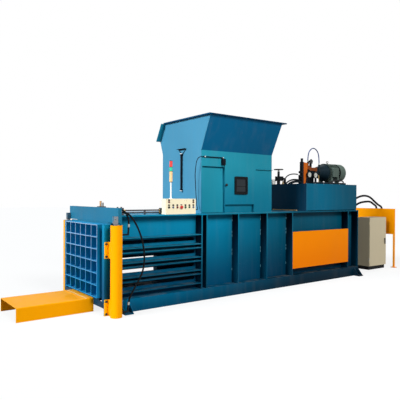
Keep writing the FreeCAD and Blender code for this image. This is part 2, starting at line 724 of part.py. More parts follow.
def main_cylinder():
    """Main barrel with gland, mounting flange, tail cap and its two ports."""
    z = PRESS_AXIS_Z
    nose = REAR - PRESS_NOSE
    gland_end = nose + PRESS_GLAND_LENGTH
    flange_x = REAR + END_PLATE
    barrel = pipe(PRESS_BARREL_RADIUS, PRESS_BORE_RADIUS, (gland_end, 0, z), (PRESS_TAIL_X, 0, z))
    gland = pipe(PRESS_BARREL_RADIUS, PRESS_ROD_RADIUS + RUN_GAP, (nose, 0, z), (gland_end, 0, z))
    flange = pipe(PRESS_FLANGE_RADIUS, PRESS_BORE_RADIUS, (flange_x, 0, z), (flange_x + PRESS_FLANGE, 0, z))
    cap = rod(PRESS_GLAND_RADIUS, (PRESS_TAIL_X, 0, z), (PRESS_TAIL_X + PRESS_CAP, 0, z))
    pieces = [barrel, gland, flange, cap]
    port_base = z + PRESS_BORE_RADIUS + 4
    port_top = z + PRESS_BARREL_RADIUS + PRESS_PORT_HEIGHT
    for y in (-PRESS_PORT_SPREAD, PRESS_PORT_SPREAD):
        pieces.append(rod(PRESS_PORT_RADIUS, (PRESS_PORT_X, y, port_base), (PRESS_PORT_X, y, port_top)))
    return fuse(pieces)


def rear_stand():
    """Portal that holds the tail of the main cylinder."""
    x0 = STAND_X
    leg = STAND_LEG
    half = STAND_HALF_WIDTH
    collar_radius = PRESS_BARREL_RADIUS + STAND_BORE_GAP
    pieces = [
        box(x0, x0 + STAND_SHEET, -half, half, STAND_PANEL_BOTTOM, STAND_TOP),
        box(x0, x0 + STAND_RETURN, -half, half, STAND_TOP - STAND_SHEET, STAND_TOP),
    ]
    for y in (-half, half - leg):
        pieces.append(box(x0, x0 + leg, y, y + leg, STAND_FOOT_PLATE, STAND_TOP))
        middle = y + leg / 2
        pieces.append(box(x0 + leg / 2 - STAND_FOOT / 2, x0 + leg / 2 + STAND_FOOT / 2,
                          middle - STAND_FOOT / 2, middle + STAND_FOOT / 2, 0, STAND_FOOT_PLATE))
    axis_start = (x0 - 1, 0, PRESS_AXIS_Z)
    collar = rod(collar_radius + STAND_COLLAR, (x0, 0, PRESS_AXIS_Z), (x0 + leg, 0, PRESS_AXIS_Z))
    body = fuse(pieces + [collar])
    return body.cut(rod(collar_radius, axis_start, (x0 + leg + 1, 0, PRESS_AXIS_Z)))


# ---- hopper -----------------------------------------------------------------------------
def hopper_outline():
    """Levels of the hopper with its near, far and rear faces at each."""
    share = (LIP_BEND_Z - BEND_Z) / (HOPPER_TOP - BEND_Z)
    return (
        (ROOF_TOP, -WALL_OUT, WALL_OUT, CHUTE_REAR),
        (BEND_Z, -WALL_OUT, WALL_OUT, CHUTE_REAR),
        (LIP_BEND_Z, -WALL_OUT - share * NEAR_FLARE, WALL_OUT + FAR_FLARE, CHUTE_REAR + share * REAR_FLARE),
        (HOPPER_TOP, -WALL_OUT - NEAR_FLARE, WALL_OUT - FAR_LIP_LEAN, CHUTE_REAR + REAR_FLARE),
    )


def hexahedron(lower, upper):
    """Solid between two horizontal quadrilaterals with matching corners."""
    lower = [V(*point) for point in lower]
    upper = [V(*point) for point in upper]
    rings = [lower, upper[::-1]]
    count = len(lower)
    for index in range(count):
        after = (index + 1) % count
        rings.append([lower[index], lower[after], upper[after], upper[index]])
    faces = [Part.Face(Part.makePolygon(ring + ring[:1])) for ring in rings]
    solid = Part.makeSolid(Part.makeShell(faces))
    if solid.Volume < 0:
        solid.reverse()
    return solid


def wall_by_levels(corners_at):
    """Bent wall from the four plan corners that a function gives for each level."""
    levels = hopper_outline()
    pieces = []
    for lower, upper in zip(levels, levels[1:]):
        pieces.append(hexahedron(corners_at(*lower), corners_at(*upper)))
    return fuse(pieces)


def near_corners(z, near, beyond, rear):
    """Plan corners of the near wall at one level."""
    start = CHUTE_FRONT + CHUTE_SHEET
    sheet = CHUTE_SHEET
    return ((start, near, z), (rear, near, z), (rear - sheet, near + sheet, z), (start, near + sheet, z))


def far_corners(z, near, beyond, rear):
    """Plan corners of the far wall at one level."""
    start = CHUTE_FRONT + CHUTE_SHEET
    sheet = CHUTE_SHEET
    return ((start, beyond - sheet, z), (rear - sheet, beyond - sheet, z),
            (rear, beyond, z), (start, beyond, z))


def rear_corners(z, near, beyond, rear):
    """Plan corners of the rear wall at one level."""
    sheet = CHUTE_SHEET
    return ((rear - sheet, near + sheet, z), (rear, near, z),
            (rear, beyond, z), (rear - sheet, beyond - sheet, z))


def deck_strip(side, x0, x1, reach):
    """Flange beside the chute, at the level of the press body's roof."""
    y0, y1 = sorted((side * HALF_BODY, side * reach))
    return box(x0, x1, y0, y1, ROOF_UNDER, ROOF_TOP)


def deck(side):
    """Flange over the whole length of one side of the chute."""
    return deck_strip(side, CHUTE_FRONT + CHUTE_SHEET, CHUTE_REAR - CHUTE_SHEET, HALF_CHAMBER)


def recess(wall, x0, x1, z0, z1, depth, open_back):
    """Set a rectangle of the near wall back by a depth, with returns at its edges."""
    sheet = CHUTE_SHEET
    front = -WALL_OUT
    wall = wall.cut(box(x0, x1, front - 1, front + sheet + 1, z0, z1))
    outer = box(x0 - sheet, x1 + sheet, front, front + depth, z0, z1 + sheet)
    inner = box(x0, x1, front - 1, front + depth + 1, z0 - 1, z1)
    pieces = [wall, outer.cut(inner)]
    if not open_back:
        pieces.append(box(x0 - sheet, x1 + sheet, front + depth, front + depth + sheet, z0, z1 + sheet))
    return fuse(pieces)


def hopper_near():
    """Near wall: door recess, lower notch, ledge, window hole, flare and deck flange."""
    wall = wall_by_levels(near_corners)
    wall = recess(wall, DOOR_LEFT, DOOR_RIGHT, ROOF_TOP, DOOR_TOP, DOOR_RECESS, True)
    wall = recess(wall, NOTCH_LEFT, NOTCH_RIGHT, ROOF_TOP, NOTCH_TOP, DOOR_RECESS, False)
    ledge = box(LEDGE_LEFT, CHUTE_REAR, -WALL_OUT - LEDGE_REACH, -WALL_OUT,
                LEDGE_TOP - LEDGE_SHEET, LEDGE_TOP)
    lip_y = DOOR_PLANE + CHUTE_SHEET
    lip = box(DOOR_LEFT - CHUTE_SHEET, DOOR_RIGHT + CHUTE_SHEET, DOOR_PLANE, lip_y, ROOF_TOP,
              DOOR_TOP + CHUTE_SHEET)
    hole = box(DOOR_LEFT + DOOR_LIP, DOOR_RIGHT - DOOR_LIP, DOOR_PLANE - 1, lip_y + 1,
               ROOF_TOP + DOOR_LIP, DOOR_TOP - DOOR_LIP)
    frame = WINDOW_FRAME
    window = box(WINDOW_LEFT + frame, WINDOW_RIGHT - frame, -WALL_OUT - 1, -HALF_CHAMBER + 1,
                 WINDOW_BOTTOM + frame, WINDOW_TOP - frame)
    shelf = deck_strip(-1, DOOR_LEFT - CHUTE_SHEET, NOTCH_RIGHT + CHUTE_SHEET, -lip_y)
    return fuse([wall, lip.cut(hole), ledge, deck(-1), shelf, near_rim()] + frame_knuckles()).cut(window)


def near_rim():
    """Flat flange along the top of the near flare."""
    y = -WALL_OUT - NEAR_FLARE
    x0 = CHUTE_FRONT + CHUTE_SHEET
    x1 = CHUTE_REAR + REAR_FLARE + REAR_RIM
    return box(x0, x1, y - RIM_WIDTH, y + CHUTE_SHEET, HOPPER_TOP, HOPPER_TOP + RIM_SHEET)


def pivot_point():
    """Hinge axis of the access door in plan."""
    return DOOR_LEFT + DOOR_PIVOT_INSET, DOOR_PLANE - HINGE_RADIUS - 1


def knuckle(z):
    """One knuckle of the access door's hinge."""
    x, y = pivot_point()
    return rod(HINGE_RADIUS, (x, y, z), (x, y, z + HINGE_LENGTH))


def frame_knuckles():
    """Lower knuckle of each hinge with its tab to the door frame."""
    x, y = pivot_point()
    pieces = []
    for z in HINGE_LEVELS:
        tab = box(DOOR_LEFT, x, y - HINGE_RADIUS, y, z, z + HINGE_LENGTH)
        pieces += [knuckle(z), tab]
    return pieces


def access_door():
    """Hinged door of the chute."""
    x, y = pivot_point()
    left = x
    right = DOOR_RIGHT - DOOR_GAP
    back = DOOR_PLANE - 3
    front = back - DOOR_SHEET
    panel = box(left, right, front, back, ROOF_TOP + DOOR_GAP, DOOR_TOP - DOOR_GAP)
    pieces = []
    for z in HINGE_LEVELS:
        panel = panel.cut(box(left - 1, x + HINGE_RADIUS + 2, front - 1, back + 1,
                              z - 2, z + HINGE_LENGTH + 0.6))
        pieces.append(knuckle(z + HINGE_LENGTH + 1))
    return fuse([panel] + pieces)


def hopper_front():
    """Flat front wall, cut to the hopper's outline."""
    levels = hopper_outline()
    near_side = [(CHUTE_FRONT, level[1], level[0]) for level in levels]
    far_side = [(CHUTE_FRONT, level[2], level[0]) for level in reversed(levels)]
    plate = prism(near_side + far_side, (CHUTE_SHEET, 0, 0))
    y0 = levels[3][1] - RIM_WIDTH
    y1 = levels[3][2]
    rim = box(CHUTE_FRONT - RIM_WIDTH, CHUTE_FRONT + CHUTE_SHEET, y0, y1, HOPPER_TOP, HOPPER_TOP + RIM_SHEET)
    return fuse([plate, rim])


def hopper_far():
    """Far wall: lower flare, lip that leans back in, and its front strip."""
    wall = wall_by_levels(far_corners)
    levels = hopper_outline()
    low, high = levels[2], levels[3]
    strip = prism(((CHUTE_FRONT - LIP_STRIP, low[2] - CHUTE_SHEET, low[0]),
                   (CHUTE_FRONT - LIP_STRIP, low[2], low[0]),
                   (CHUTE_FRONT - LIP_STRIP, high[2], high[0]),
                   (CHUTE_FRONT - LIP_STRIP, high[2] - CHUTE_SHEET, high[0])), (LIP_STRIP, 0, 0))
    return group([fuse([wall, deck(1)]), strip])


def hopper_rear():
    """Rear wall with its flare."""
    wall = wall_by_levels(rear_corners)
    level = hopper_outline()[3]
    outer_x = level[3] + REAR_RIM
    y0 = level[1] + CHUTE_SHEET
    rim = box(level[3] - CHUTE_SHEET, outer_x, y0, level[2], HOPPER_TOP, HOPPER_TOP + RIM_SHEET)
    return fuse([wall, rim])


def rounded_block(x0, x1, y0, y1, z0, z1, radius):
    """Block with its four edges along Y rounded."""
    block = box(x0, x1, y0, y1, z0, z1)
    edges = [edge for edge in block.Edges if abs(edge.tangentAt(edge.FirstParameter).y) > 0.99]
    return block.makeFillet(radius, edges)


def inspection_window():
    """Window frame on the near wall, and its pane."""
    y0 = -WALL_OUT - WINDOW_DEPTH
    border = WINDOW_FRAME
    outer = rounded_block(WINDOW_LEFT, WINDOW_RIGHT, y0, -WALL_OUT, WINDOW_BOTTOM, WINDOW_TOP, WINDOW_CORNER)
    hole = rounded_block(WINDOW_LEFT + border, WINDOW_RIGHT - border, y0 - 1, -WALL_OUT + 1,
                         WINDOW_BOTTOM + border, WINDOW_TOP - border, WINDOW_CORNER / 2)
    pane = rounded_block(WINDOW_LEFT + border, WINDOW_RIGHT - border, -WALL_OUT - PANE, -WALL_OUT,
                         WINDOW_BOTTOM + border, WINDOW_TOP - border, WINDOW_CORNER / 2)
    return group([outer.cut(hole), pane])


# ---- switches, sensor, control box and signal tower -------------------------------------
def limit_switch():
    """Door switch with its lever, and the conduit that leads to it."""
    width, depth, height = SWITCH_SIZE
    wall = -WALL_OUT
    x0 = SWITCH_X - width / 2
    body = rounded_block(x0, x0 + width, wall - depth, wall, SWITCH_Z - height / 2, SWITCH_Z + height / 2, 8)
    lever = box(SWITCH_X - 6, SWITCH_X + 6, wall - depth - 8, wall - depth,
                SWITCH_Z - height / 2 - 28, SWITCH_Z)
    y = wall - CONDUIT_STANDOFF
    gland = rod(CONDUIT_RADIUS + 3, (SWITCH_X, y, SWITCH_Z + height / 2 - 4), (SWITCH_X, y, CONDUIT_Z))
    tube = rod(CONDUIT_RADIUS, (CONDUIT_LEFT, y, CONDUIT_Z), (SWITCH_X, y, CONDUIT_Z))
    return fuse([body, lever, gland, tube])


def sensor_mast():
    """Level sensor: conduit up the front wall to a triangular bracket."""
    x = CHUTE_FRONT - SENSOR_RADIUS - SENSOR_STANDOFF - SENSOR_GAP
    mast = rod(SENSOR_RADIUS, (x, SENSOR_Y, SENSOR_BOTTOM), (x, SENSOR_Y, SENSOR_TOP + 12))
    left, right = SENSOR_Y - BRACKET_HALF, SENSOR_Y + BRACKET_HALF
    plate_x = CHUTE_FRONT - SENSOR_STANDOFF
    outer = prism(((plate_x, left, BRACKET_TOP), (plate_x, right, BRACKET_TOP),
                   (plate_x, SENSOR_Y + BRACKET_BAR, SENSOR_TOP),
                   (plate_x, SENSOR_Y - BRACKET_BAR, SENSOR_TOP)),
                  (SENSOR_STANDOFF, 0, 0))
    inset = 2.2 * BRACKET_BAR
    inner = prism(((plate_x - 1, left + inset, BRACKET_TOP - BRACKET_BAR),
                   (plate_x - 1, right - inset, BRACKET_TOP - BRACKET_BAR),
                   (plate_x - 1, SENSOR_Y, SENSOR_TOP + BRACKET_BAR)), (SENSOR_STANDOFF + 2, 0, 0))
    shelf = box(plate_x - 40, CHUTE_FRONT, left, right, BRACKET_TOP, BRACKET_TOP + 4)
    clamps = []
    for z in (SENSOR_BOTTOM + 20, SENSOR_TOP):
        clamps.append(box(x - SENSOR_RADIUS, CHUTE_FRONT, SENSOR_Y - 22, SENSOR_Y + 22, z - 10, z + 10))
    return fuse([mast, outer.cut(inner), shelf] + clamps)


def control_x(column):
    """Place of a control along the row."""
    return CONTROL_FIRST_X + column * CONTROL_PITCH


def control_box():
    """Sheet housing on the roof, drilled for the moving controls."""
    sheet = BOX_SHEET
    y1 = BOX_FRONT_Y + BOX_DEPTH
    z1 = ROOF_TOP + BOX_HEIGHT
    shell = box(BOX_LEFT, BOX_RIGHT, BOX_FRONT_Y, y1, ROOF_TOP, z1)
    inside = box(BOX_LEFT + sheet, BOX_RIGHT - sheet, BOX_FRONT_Y + sheet, y1 - sheet,
                 ROOF_TOP + sheet, z1 - sheet)
    shell = shell.cut(inside)
    for column in (0, 2, 3, 4):
        x = control_x(column)
        hole = rod(STEM_RADIUS + STEM_GAP, (x, BOX_FRONT_Y - 1, CONTROL_ROW_Z),
                   (x, BOX_FRONT_Y + sheet + 1, CONTROL_ROW_Z))
        shell = shell.cut(hole)
    return shell


def button(column, cap_radius, cap_height):
    """Push button: bevelled cap in front of the panel, stem through it."""
    x = control_x(column)
    z = CONTROL_ROW_Z
    cap_back = BOX_FRONT_Y - BUTTON_TRAVEL_GAP
    bevel = cap_height / 3
    cap = rod(cap_radius, (x, cap_back - cap_height + bevel, z), (x, cap_back, z))
    crown = Part.makeCone(cap_radius, cap_radius - bevel, bevel,
                          V(x, cap_back - cap_height + bevel, z), V(0, -1, 0))
    stem = rod(STEM_RADIUS, (x, cap_back - 2, z), (x, BOX_FRONT_Y + STEM_LENGTH, z))
    return fuse([cap, crown, stem])


def selector_switch():
    """Turning selector with a bar grip."""
    x = control_x(0)
    z = CONTROL_ROW_Z
    disc_back = BOX_FRONT_Y - 1
    disc = rod(BUTTON_RADIUS, (x, disc_back - 8, z), (x, disc_back, z))
    grip = box(x - 4, x + 4, disc_back - 22, disc_back - 8, z - BUTTON_RADIUS + 1, z + BUTTON_RADIUS - 1)
    stem = rod(STEM_RADIUS, (x, disc_back - 2, z), (x, BOX_FRONT_Y + STEM_LENGTH, z))
    return fuse([disc, grip, stem])


def lamp_pole():
    """Foot and pole of the signal tower."""
    base_z = ROOF_TOP + BOX_HEIGHT
    foot = rod(LENS_RADIUS, (TOWER_X, TOWER_Y, base_z), (TOWER_X, TOWER_Y, base_z + 10))
    pole = rod(TOWER_POLE_RADIUS, (TOWER_X, TOWER_Y, base_z), (TOWER_X, TOWER_Y, TOWER_POLE_TOP))
    return fuse([foot, pole])


def lamp_lenses():
    """Three lenses of the signal tower, each with a step that seats the next."""
    lenses = []
    for index, (z0, z1) in enumerate(LENS_LEVELS):
        lens = rod(LENS_RADIUS, (TOWER_X, TOWER_Y, z0), (TOWER_X, TOWER_Y, z1))
        if index + 1 < len(LENS_LEVELS):
            z2 = LENS_LEVELS[index + 1][0]
            step = rod(LENS_RADIUS - 5, (TOWER_X, TOWER_Y, z1), (TOWER_X, TOWER_Y, z2))
            lens = lens.fuse(step)
        lenses.append(lens)
    return group(lenses)


# ---- power unit -------------------------------------------------------------------------
def oil_tank():
    """Tank on two skids, with its lid."""
    z0 = ROOF_TOP + SKID_HEIGHT
    sheet = TANK_SHEET
    lid_z = TANK_TOP - sheet
    body = box(TANK_LEFT, TANK_RIGHT, TANK_NEAR, TANK_FAR, z0, lid_z)
    body = body.cut(box(TANK_LEFT + sheet, TANK_RIGHT - sheet, TANK_NEAR + sheet, TANK_FAR - sheet,
                        z0 + sheet, lid_z + 1))
    lid = box(TANK_LEFT, TANK_RIGHT, TANK_NEAR, TANK_FAR, lid_z, TANK_TOP)
    skids = [box(x, x + SKID_WIDTH, TANK_NEAR + 10, TANK_FAR, ROOF_TOP, z0)
             for x in (TANK_LEFT, TANK_RIGHT - SKID_WIDTH)]
    return group([body, lid] + skids)


def motor():
    """Finned electric motor with cowl, feet and terminal box."""
    y, z = MOTOR_Y, MOTOR_Z
    core = rod(MOTOR_CORE, (MOTOR_LEFT, y, z), (COWL_LEFT, y, z))
    fins = []
    for index in range(MOTOR_FIN_COUNT):
        fin = box(MOTOR_LEFT + 30, COWL_LEFT - 16, y - MOTOR_FIN / 2, y + MOTOR_FIN / 2,
                  z + MOTOR_CORE - 6, z + MOTOR_FIN_TIP)
        fins.append(fin.rotate(V(0, y, z), V(1, 0, 0), index * 360.0 / MOTOR_FIN_COUNT))
    ring = rod(MOTOR_FIN_TIP, (MOTOR_LEFT, y, z), (MOTOR_LEFT + 24, y, z))
    cowl = rod(COWL_RADIUS, (COWL_LEFT, y, z), (MOTOR_RIGHT, y, z))
    end_edges = [edge for edge in cowl.Edges
                 if edge.BoundBox.XLength < 0.01 and abs(edge.BoundBox.XMax - MOTOR_RIGHT) < 0.01]
    cowl = cowl.makeFillet(38, end_edges)
    feet = []
    for x in (MOTOR_LEFT + 60, COWL_LEFT - 80):
        for side in (-1, 1):
            y0, y1 = sorted((y + side * 90, y + side * 165))
            feet.append(box(x, x + MOTOR_FOOT, y0, y1, TANK_TOP, z - 80))
    terminal = box(TERMINAL_LEFT, TERMINAL_RIGHT, y - 205, y - 120, z - 95, z + 95)
    eye = rod(9, (EYE_X, y, z + MOTOR_CORE), (EYE_X, y, z + MOTOR_FIN_TIP + 18))
    eye_z = z + MOTOR_FIN_TIP + 34
    ring_eye = pipe(26, 17, (EYE_X - 5, y, eye_z), (EYE_X + 5, y, eye_z))
    return fuse([core, ring, cowl, terminal, eye, ring_eye] + fins + feet)


def pump():
    """Pump with the bell housing that joins it to the motor."""
    y, z = MOTOR_Y, MOTOR_Z
    bell_x = MOTOR_LEFT - BELL_LENGTH
    bell = Part.makeCone(PUMP_RADIUS + 16, BELL_RADIUS, BELL_LENGTH, V(bell_x, y, z), V(1, 0, 0))
    body = rod(PUMP_RADIUS, (bell_x - PUMP_LENGTH, y, z), (bell_x + 2, y, z))
    suction_x = bell_x - PUMP_LENGTH / 2
    suction = rod(32, (suction_x, y, TANK_TOP), (suction_x, y, z))
    port_x, port_y, port_z = PUMP_ROUTE[-1]
    port = rod(20, (port_x, port_y, z), (port_x, port_y, port_z))
    return fuse([bell, body, suction, port])


def gauge(x, z):
    """Pressure gauge facing the operator's side."""
    case = rod(GAUGE_RADIUS, (x, GAUGE_Y - GAUGE_DEPTH, z), (x, GAUGE_Y, z))
    stem = rod(9, (x, GAUGE_Y - GAUGE_DEPTH / 2, TANK_TOP), (x, GAUGE_Y - GAUGE_DEPTH / 2, z))
    return case.fuse(stem)


def valve_block():
    """Valve stack with its casting, the arm that carries the relief valve, and the two gauges."""
    x0 = VALVE_LEFT
    x1 = x0 + VALVE_BLOCK
    x2 = x1 + CASTING_LENGTH
    y0 = VALVE_NEAR
    y1 = VALVE_NEAR + VALVE_BLOCK
    column = box(x0, x1, y0, y1, TANK_TOP, VALVE_TOP)
    cap = rod(24, (x1 - 22, y0 + 30, VALVE_TOP - 20), (x1 - 22, y0 + 30, VALVE_TOP + 68))
    coils = [rod(24, (x0 - 42, y0 + 27, z), (x0, y0 + 27, z)) for z in (2010, 2090)]
    back = y0 + 6 + CASTING_DEPTH
    casting = prism(((x1, y0 + 6, TANK_TOP), (x1, y0 + 6, CASTING_TOP), (x2, y0 + 6, CASTING_TOP - 12),
                     (x2, y0 + 6, 2150), (x2 - 60, y0 + 6, TANK_TOP)), (0, back - y0 - 6, 0))
    arm = prism(((x2, y0 + 10, 2262), (x2 + 120, y0 + 10, 2192), (x2 + 300, y0 + 10, 2200),
                 (x2 + 300, y0 + 10, 2128), (x2 + 100, y0 + 10, 2132), (x2, y0 + 10, 2165)), (0, 22, 0))
    elbow = box(x2 - 5, x2 + 48, y0 + 8, y0 + 40, 2250, 2284)
    port_x, port_y, port_z = PUMP_ROUTE[0]
    port = rod(15, (port_x, port_y, 2280), (port_x, port_y, port_z))
    leg = box(x2 + 245, x2 + 285, y0 + 10, y0 + 32, TANK_TOP, 2135)
    relief = box(KNOB_X + 6, KNOB_X + 44, y0 + 10, y0 + 40, 2180, KNOB_Z + 14)
    seat = rod(20, (KNOB_X, y0 + 4, KNOB_Z), (KNOB_X, y0 + 60, KNOB_Z))
    stack = fuse([column, cap, casting, arm, relief, seat, leg, elbow, port] + coils)
    spindle_hole = rod(KNOB_SPINDLE + STEM_BORE_GAP, (KNOB_X, y0, KNOB_Z), (KNOB_X, y0 + 55, KNOB_Z))
    return group([stack.cut(spindle_hole)] + [gauge(x, z) for x, z in GAUGES])


def star_knob():
    """Lobed knob of the relief valve on its spindle."""
    face = VALVE_NEAR + 10 - 6
    back = face - KNOB_THICKNESS
    pieces = [rod(KNOB_RADIUS - KNOB_LOBE, (KNOB_X, back, KNOB_Z), (KNOB_X, face, KNOB_Z))]
    for index in range(KNOB_LOBES):
        angle = math.pi / 2 + index * 2 * math.pi / KNOB_LOBES
        x = KNOB_X + (KNOB_RADIUS - KNOB_LOBE) * math.cos(angle)
        z = KNOB_Z + (KNOB_RADIUS - KNOB_LOBE) * math.sin(angle)
        pieces.append(rod(KNOB_LOBE, (x, back, z), (x, face, z)))
    pieces.append(rod(KNOB_SPINDLE, (KNOB_X, face - 4, KNOB_Z), (KNOB_X, face + 50, KNOB_Z)))
    return fuse(pieces)


def return_valve():
    """Return valve and filter at the far front corner of the tank."""
    x, y = RETURN_X, RETURN_Y
    body = box(x - 50, x + 90, y - 50, y + 50, 1930, 2020)
    pillar = rod(34, (x, y, TANK_TOP), (x, y, 1930))
    neck = rod(24, (x, y, 2020), (x, y, WHEEL_Z - 30))
    spindle_hole = rod(8 + STEM_BORE_GAP, (x, y, WHEEL_Z - 80), (x, y, WHEEL_Z))
    filter_can = rod(43, (FILTER_X, FILTER_Y, TANK_TOP), (FILTER_X, FILTER_Y, FILTER_TOP))
    outlet = rod(16, (FILTER_X, FILTER_Y, FILTER_TOP - 16), (x, y + 20, FILTER_TOP - 16))
    tail = rod(20, (x + 90, y, 1975), (x + 190, y, 1975))
    tail_down = rod(20, (x + 190, y, TANK_TOP), (x + 190, y, 1975))
    return fuse([body, pillar, neck, filter_can, outlet, tail, tail_down]).cut(spindle_hole)


def handwheel():
    """Spoked handwheel on the return valve's spindle."""
    x, y = RETURN_X, RETURN_Y
    z0 = WHEEL_Z
    z1 = WHEEL_Z + WHEEL_THICKNESS
    rim = pipe(WHEEL_RADIUS, WHEEL_RADIUS - WHEEL_RIM, (x, y, z0), (x, y, z1))
    hub = rod(22, (x, y, z0 - 12), (x, y, z1 + 4))
    spindle = rod(8, (x, y, WHEEL_Z - 70), (x, y, z0))
    spokes = []
    for index in range(4):
        spoke = box(x, x + WHEEL_RADIUS - WHEEL_RIM / 2, y - 7, y + 7, z0 + 4, z1 - 4)
        spokes.append(spoke.rotate(V(x, y, z0), V(0, 0, 1), index * 90.0))
    return fuse([hub, rim, spindle] + spokes)


# ---- electrical cabinet -----------------------------------------------------------------
def cabinet_shell():
    """Cabinet housing open at the front, on a recessed plinth, with its mounting plate."""
    x0 = CABINET_LEFT
    x1 = CABINET_LEFT + CABINET_WIDTH
    y0 = CABINET_FRONT_Y
    y1 = CABINET_FRONT_Y + CABINET_DEPTH
    sheet = CABINET_SHEET
    body = box(x0, x1, y0, y1, PLINTH, CABINET_TOP)
    body = body.cut(box(x0 + sheet, x1 - sheet, y0 - 1, y1 - sheet, PLINTH + sheet, CABINET_TOP - sheet))
    inset = PLINTH_INSET
    foot = box(x0 + inset, x1 - inset, y0 + inset, y1 - inset, 0, PLINTH)
    margin = inset + sheet
    foot = foot.cut(box(x0 + margin, x1 - margin, y0 + margin, y1 - margin, -1, PLINTH - sheet))
    plate = box(x0 + 50, x1 - 50, y1 - 34, y1 - 31, PLINTH + 60, CABINET_TOP - 60)
    posts = [rod(5, (x, y1 - 31, z), (x, y1 - sheet, z))
             for x in (x0 + 80, x1 - 80) for z in (PLINTH + 90, CABINET_TOP - 90)]
    return fuse([body, foot, plate] + posts)


def cabinet_pivot():
    """Hinge axis of the cabinet door in plan."""
    return CABINET_LEFT - 7, CABINET_FRONT_Y - CABINET_DOOR / 2


def cabinet_door():
    """Folded door with its hinge barrels and the pivot hole for the handle."""
    x0 = CABINET_LEFT + 1
    x1 = CABINET_LEFT + CABINET_WIDTH - 1
    back = CABINET_FRONT_Y - CABINET_DOOR_GAP
    front = back - CABINET_DOOR
    z0 = PLINTH + 4
    z1 = CABINET_TOP - 4
    sheet = CABINET_SHEET
    panel = box(x0, x1, front, back, z0, z1)
    panel = panel.cut(box(x0 + sheet, x1 - sheet, front + sheet, back + 1, z0 + sheet, z1 - sheet))
    hole_z = HANDLE_TOP - 20
    hole = rod(6 + STEM_GAP, (HANDLE_X, front - 1, hole_z), (HANDLE_X, front + sheet + 1, hole_z))
    x, y = cabinet_pivot()
    barrels = []
    for z in (PLINTH + 70, CABINET_TOP - 160):
        barrels.append(rod(7, (x, y, z), (x, y, z + 60)))
        barrels.append(box(x, x0 + 2, y - 3, y + 3, z, z + 60))
    return fuse([panel.cut(hole)] + barrels)


def cabinet_handle():
    """Swing handle on the cabinet door."""
    face = CABINET_FRONT_Y - CABINET_DOOR_GAP - CABINET_DOOR
    pivot_z = HANDLE_TOP - 20
    boss = rod(15, (HANDLE_X, face - 16, pivot_z), (HANDLE_X, face - 1, pivot_z))
    stem = rod(6, (HANDLE_X, face - 2, pivot_z), (HANDLE_X, face + 12, pivot_z))
    lever = box(HANDLE_X - 8, HANDLE_X + 8, face - 26, face - 12, HANDLE_BOTTOM, HANDLE_TOP)
    return fuse([boss, stem, lever])


# ---- bale platform ----------------------------------------------------------------------
def folded_channel(half, top, radius, bottom):
    """Block with its two upper long edges rounded, used for both faces of the fold."""
    block = box(PLATFORM_LEFT, POST_FRONT, -half, half, bottom, top)
    edges = [edge for edge in block.Edges
             if edge.BoundBox.XLength > 100 and abs(edge.BoundBox.ZMax - top) < 0.01]
    return block.makeFillet(radius, edges)


def bale_platform():
    """Folded platform that the bale slides out on, with skirts and the flap at its gate end."""
    outer = folded_channel(PLATFORM_HALF, PLATFORM_TOP, PLATFORM_FOLD, 0)
    inner = folded_channel(PLATFORM_HALF - PLATFORM_SHEET, PLATFORM_TOP - PLATFORM_SHEET,
                           PLATFORM_FOLD - PLATFORM_SHEET, -1)
    inner = inner.fuse(inner.translated(V(-10, 0, 0))).fuse(inner.translated(V(10, 0, 0)))
    flap = box(FLAP_LEFT, POST_FRONT, -FLAP_HALF, FLAP_HALF, PLATFORM_TOP, PLATFORM_TOP + FLAP_SHEET)
    return outer.cut(inner).fuse(flap)


# ---- pipes and hoses --------------------------------------------------------------------
def roof_pipes():
    """Junction block, manifold of the gate cylinders and the pipes that run along the roof."""
    manifold = box(MANIFOLD_LEFT, MANIFOLD_RIGHT, MANIFOLD_NEAR, MANIFOLD_FAR, ROOF_TOP, MANIFOLD_TOP)
    top = ROOF_TOP + 110
    junction = box(JUNCTION_X - 45, JUNCTION_X + 45, JUNCTION_Y - 60, JUNCTION_Y + 60, ROOF_TOP, top)
    plugs = [rod(22, (JUNCTION_X, JUNCTION_Y - 30, top), (JUNCTION_X, JUNCTION_Y - 30, top + 55)),
             rod(16, (JUNCTION_X, JUNCTION_Y + 30, top), (JUNCTION_X, JUNCTION_Y + 30, top + 80))]
    cross_z = ROOF_TOP + 40
    cross = rod(PIPE_RADIUS, (JUNCTION_X, JUNCTION_Y - 60, cross_z), (JUNCTION_X, MANIFOLD_FAR, cross_z))
    pipes = [rod(PIPE_RADIUS, (MANIFOLD_RIGHT, PIPE_Y, z), (BOX_LEFT, PIPE_Y, z)) for z in PIPE_LEVELS]
    rest = box(PIPE_REST_X - 15, PIPE_REST_X + 15, PIPE_Y - 5, PIPE_Y + 5, ROOF_TOP, PIPE_LEVELS[1])
    outlet = box(BOX_LEFT, BOX_LEFT + 50, PIPE_Y - 25, PIPE_Y + 25, ROOF_TOP, PIPE_LEVELS[1] + 30)
    stubs = [rod(PORT_RADIUS + 2, (route[0][0], MANIFOLD_NEAR, route[0][2]), route[0])
             for route in (UPPER_ROUTE, LOWER_ROUTE)]
    return fuse([manifold, junction, cross, rest, outlet] + plugs + pipes + stubs)


def tangent_arc(before, corner, after):
    """Arc that rounds one corner of a route, with its two tangent points and its radius."""
    back = V(*before) - V(*corner)
    ahead = V(*after) - V(*corner)
    reach = CORD_BLEND * min(back.Length, ahead.Length)
    turn = math.pi - back.getAngle(ahead)
    radius = reach / math.tan(turn / 2)
    start = V(*corner) + V(back).normalize() * reach
    end = V(*corner) + V(ahead).normalize() * reach
    bisector = (V(back).normalize() + V(ahead).normalize()).normalize()
    middle = V(*corner) + bisector * (radius / math.cos(turn / 2) - radius)
    return start, middle, end, radius


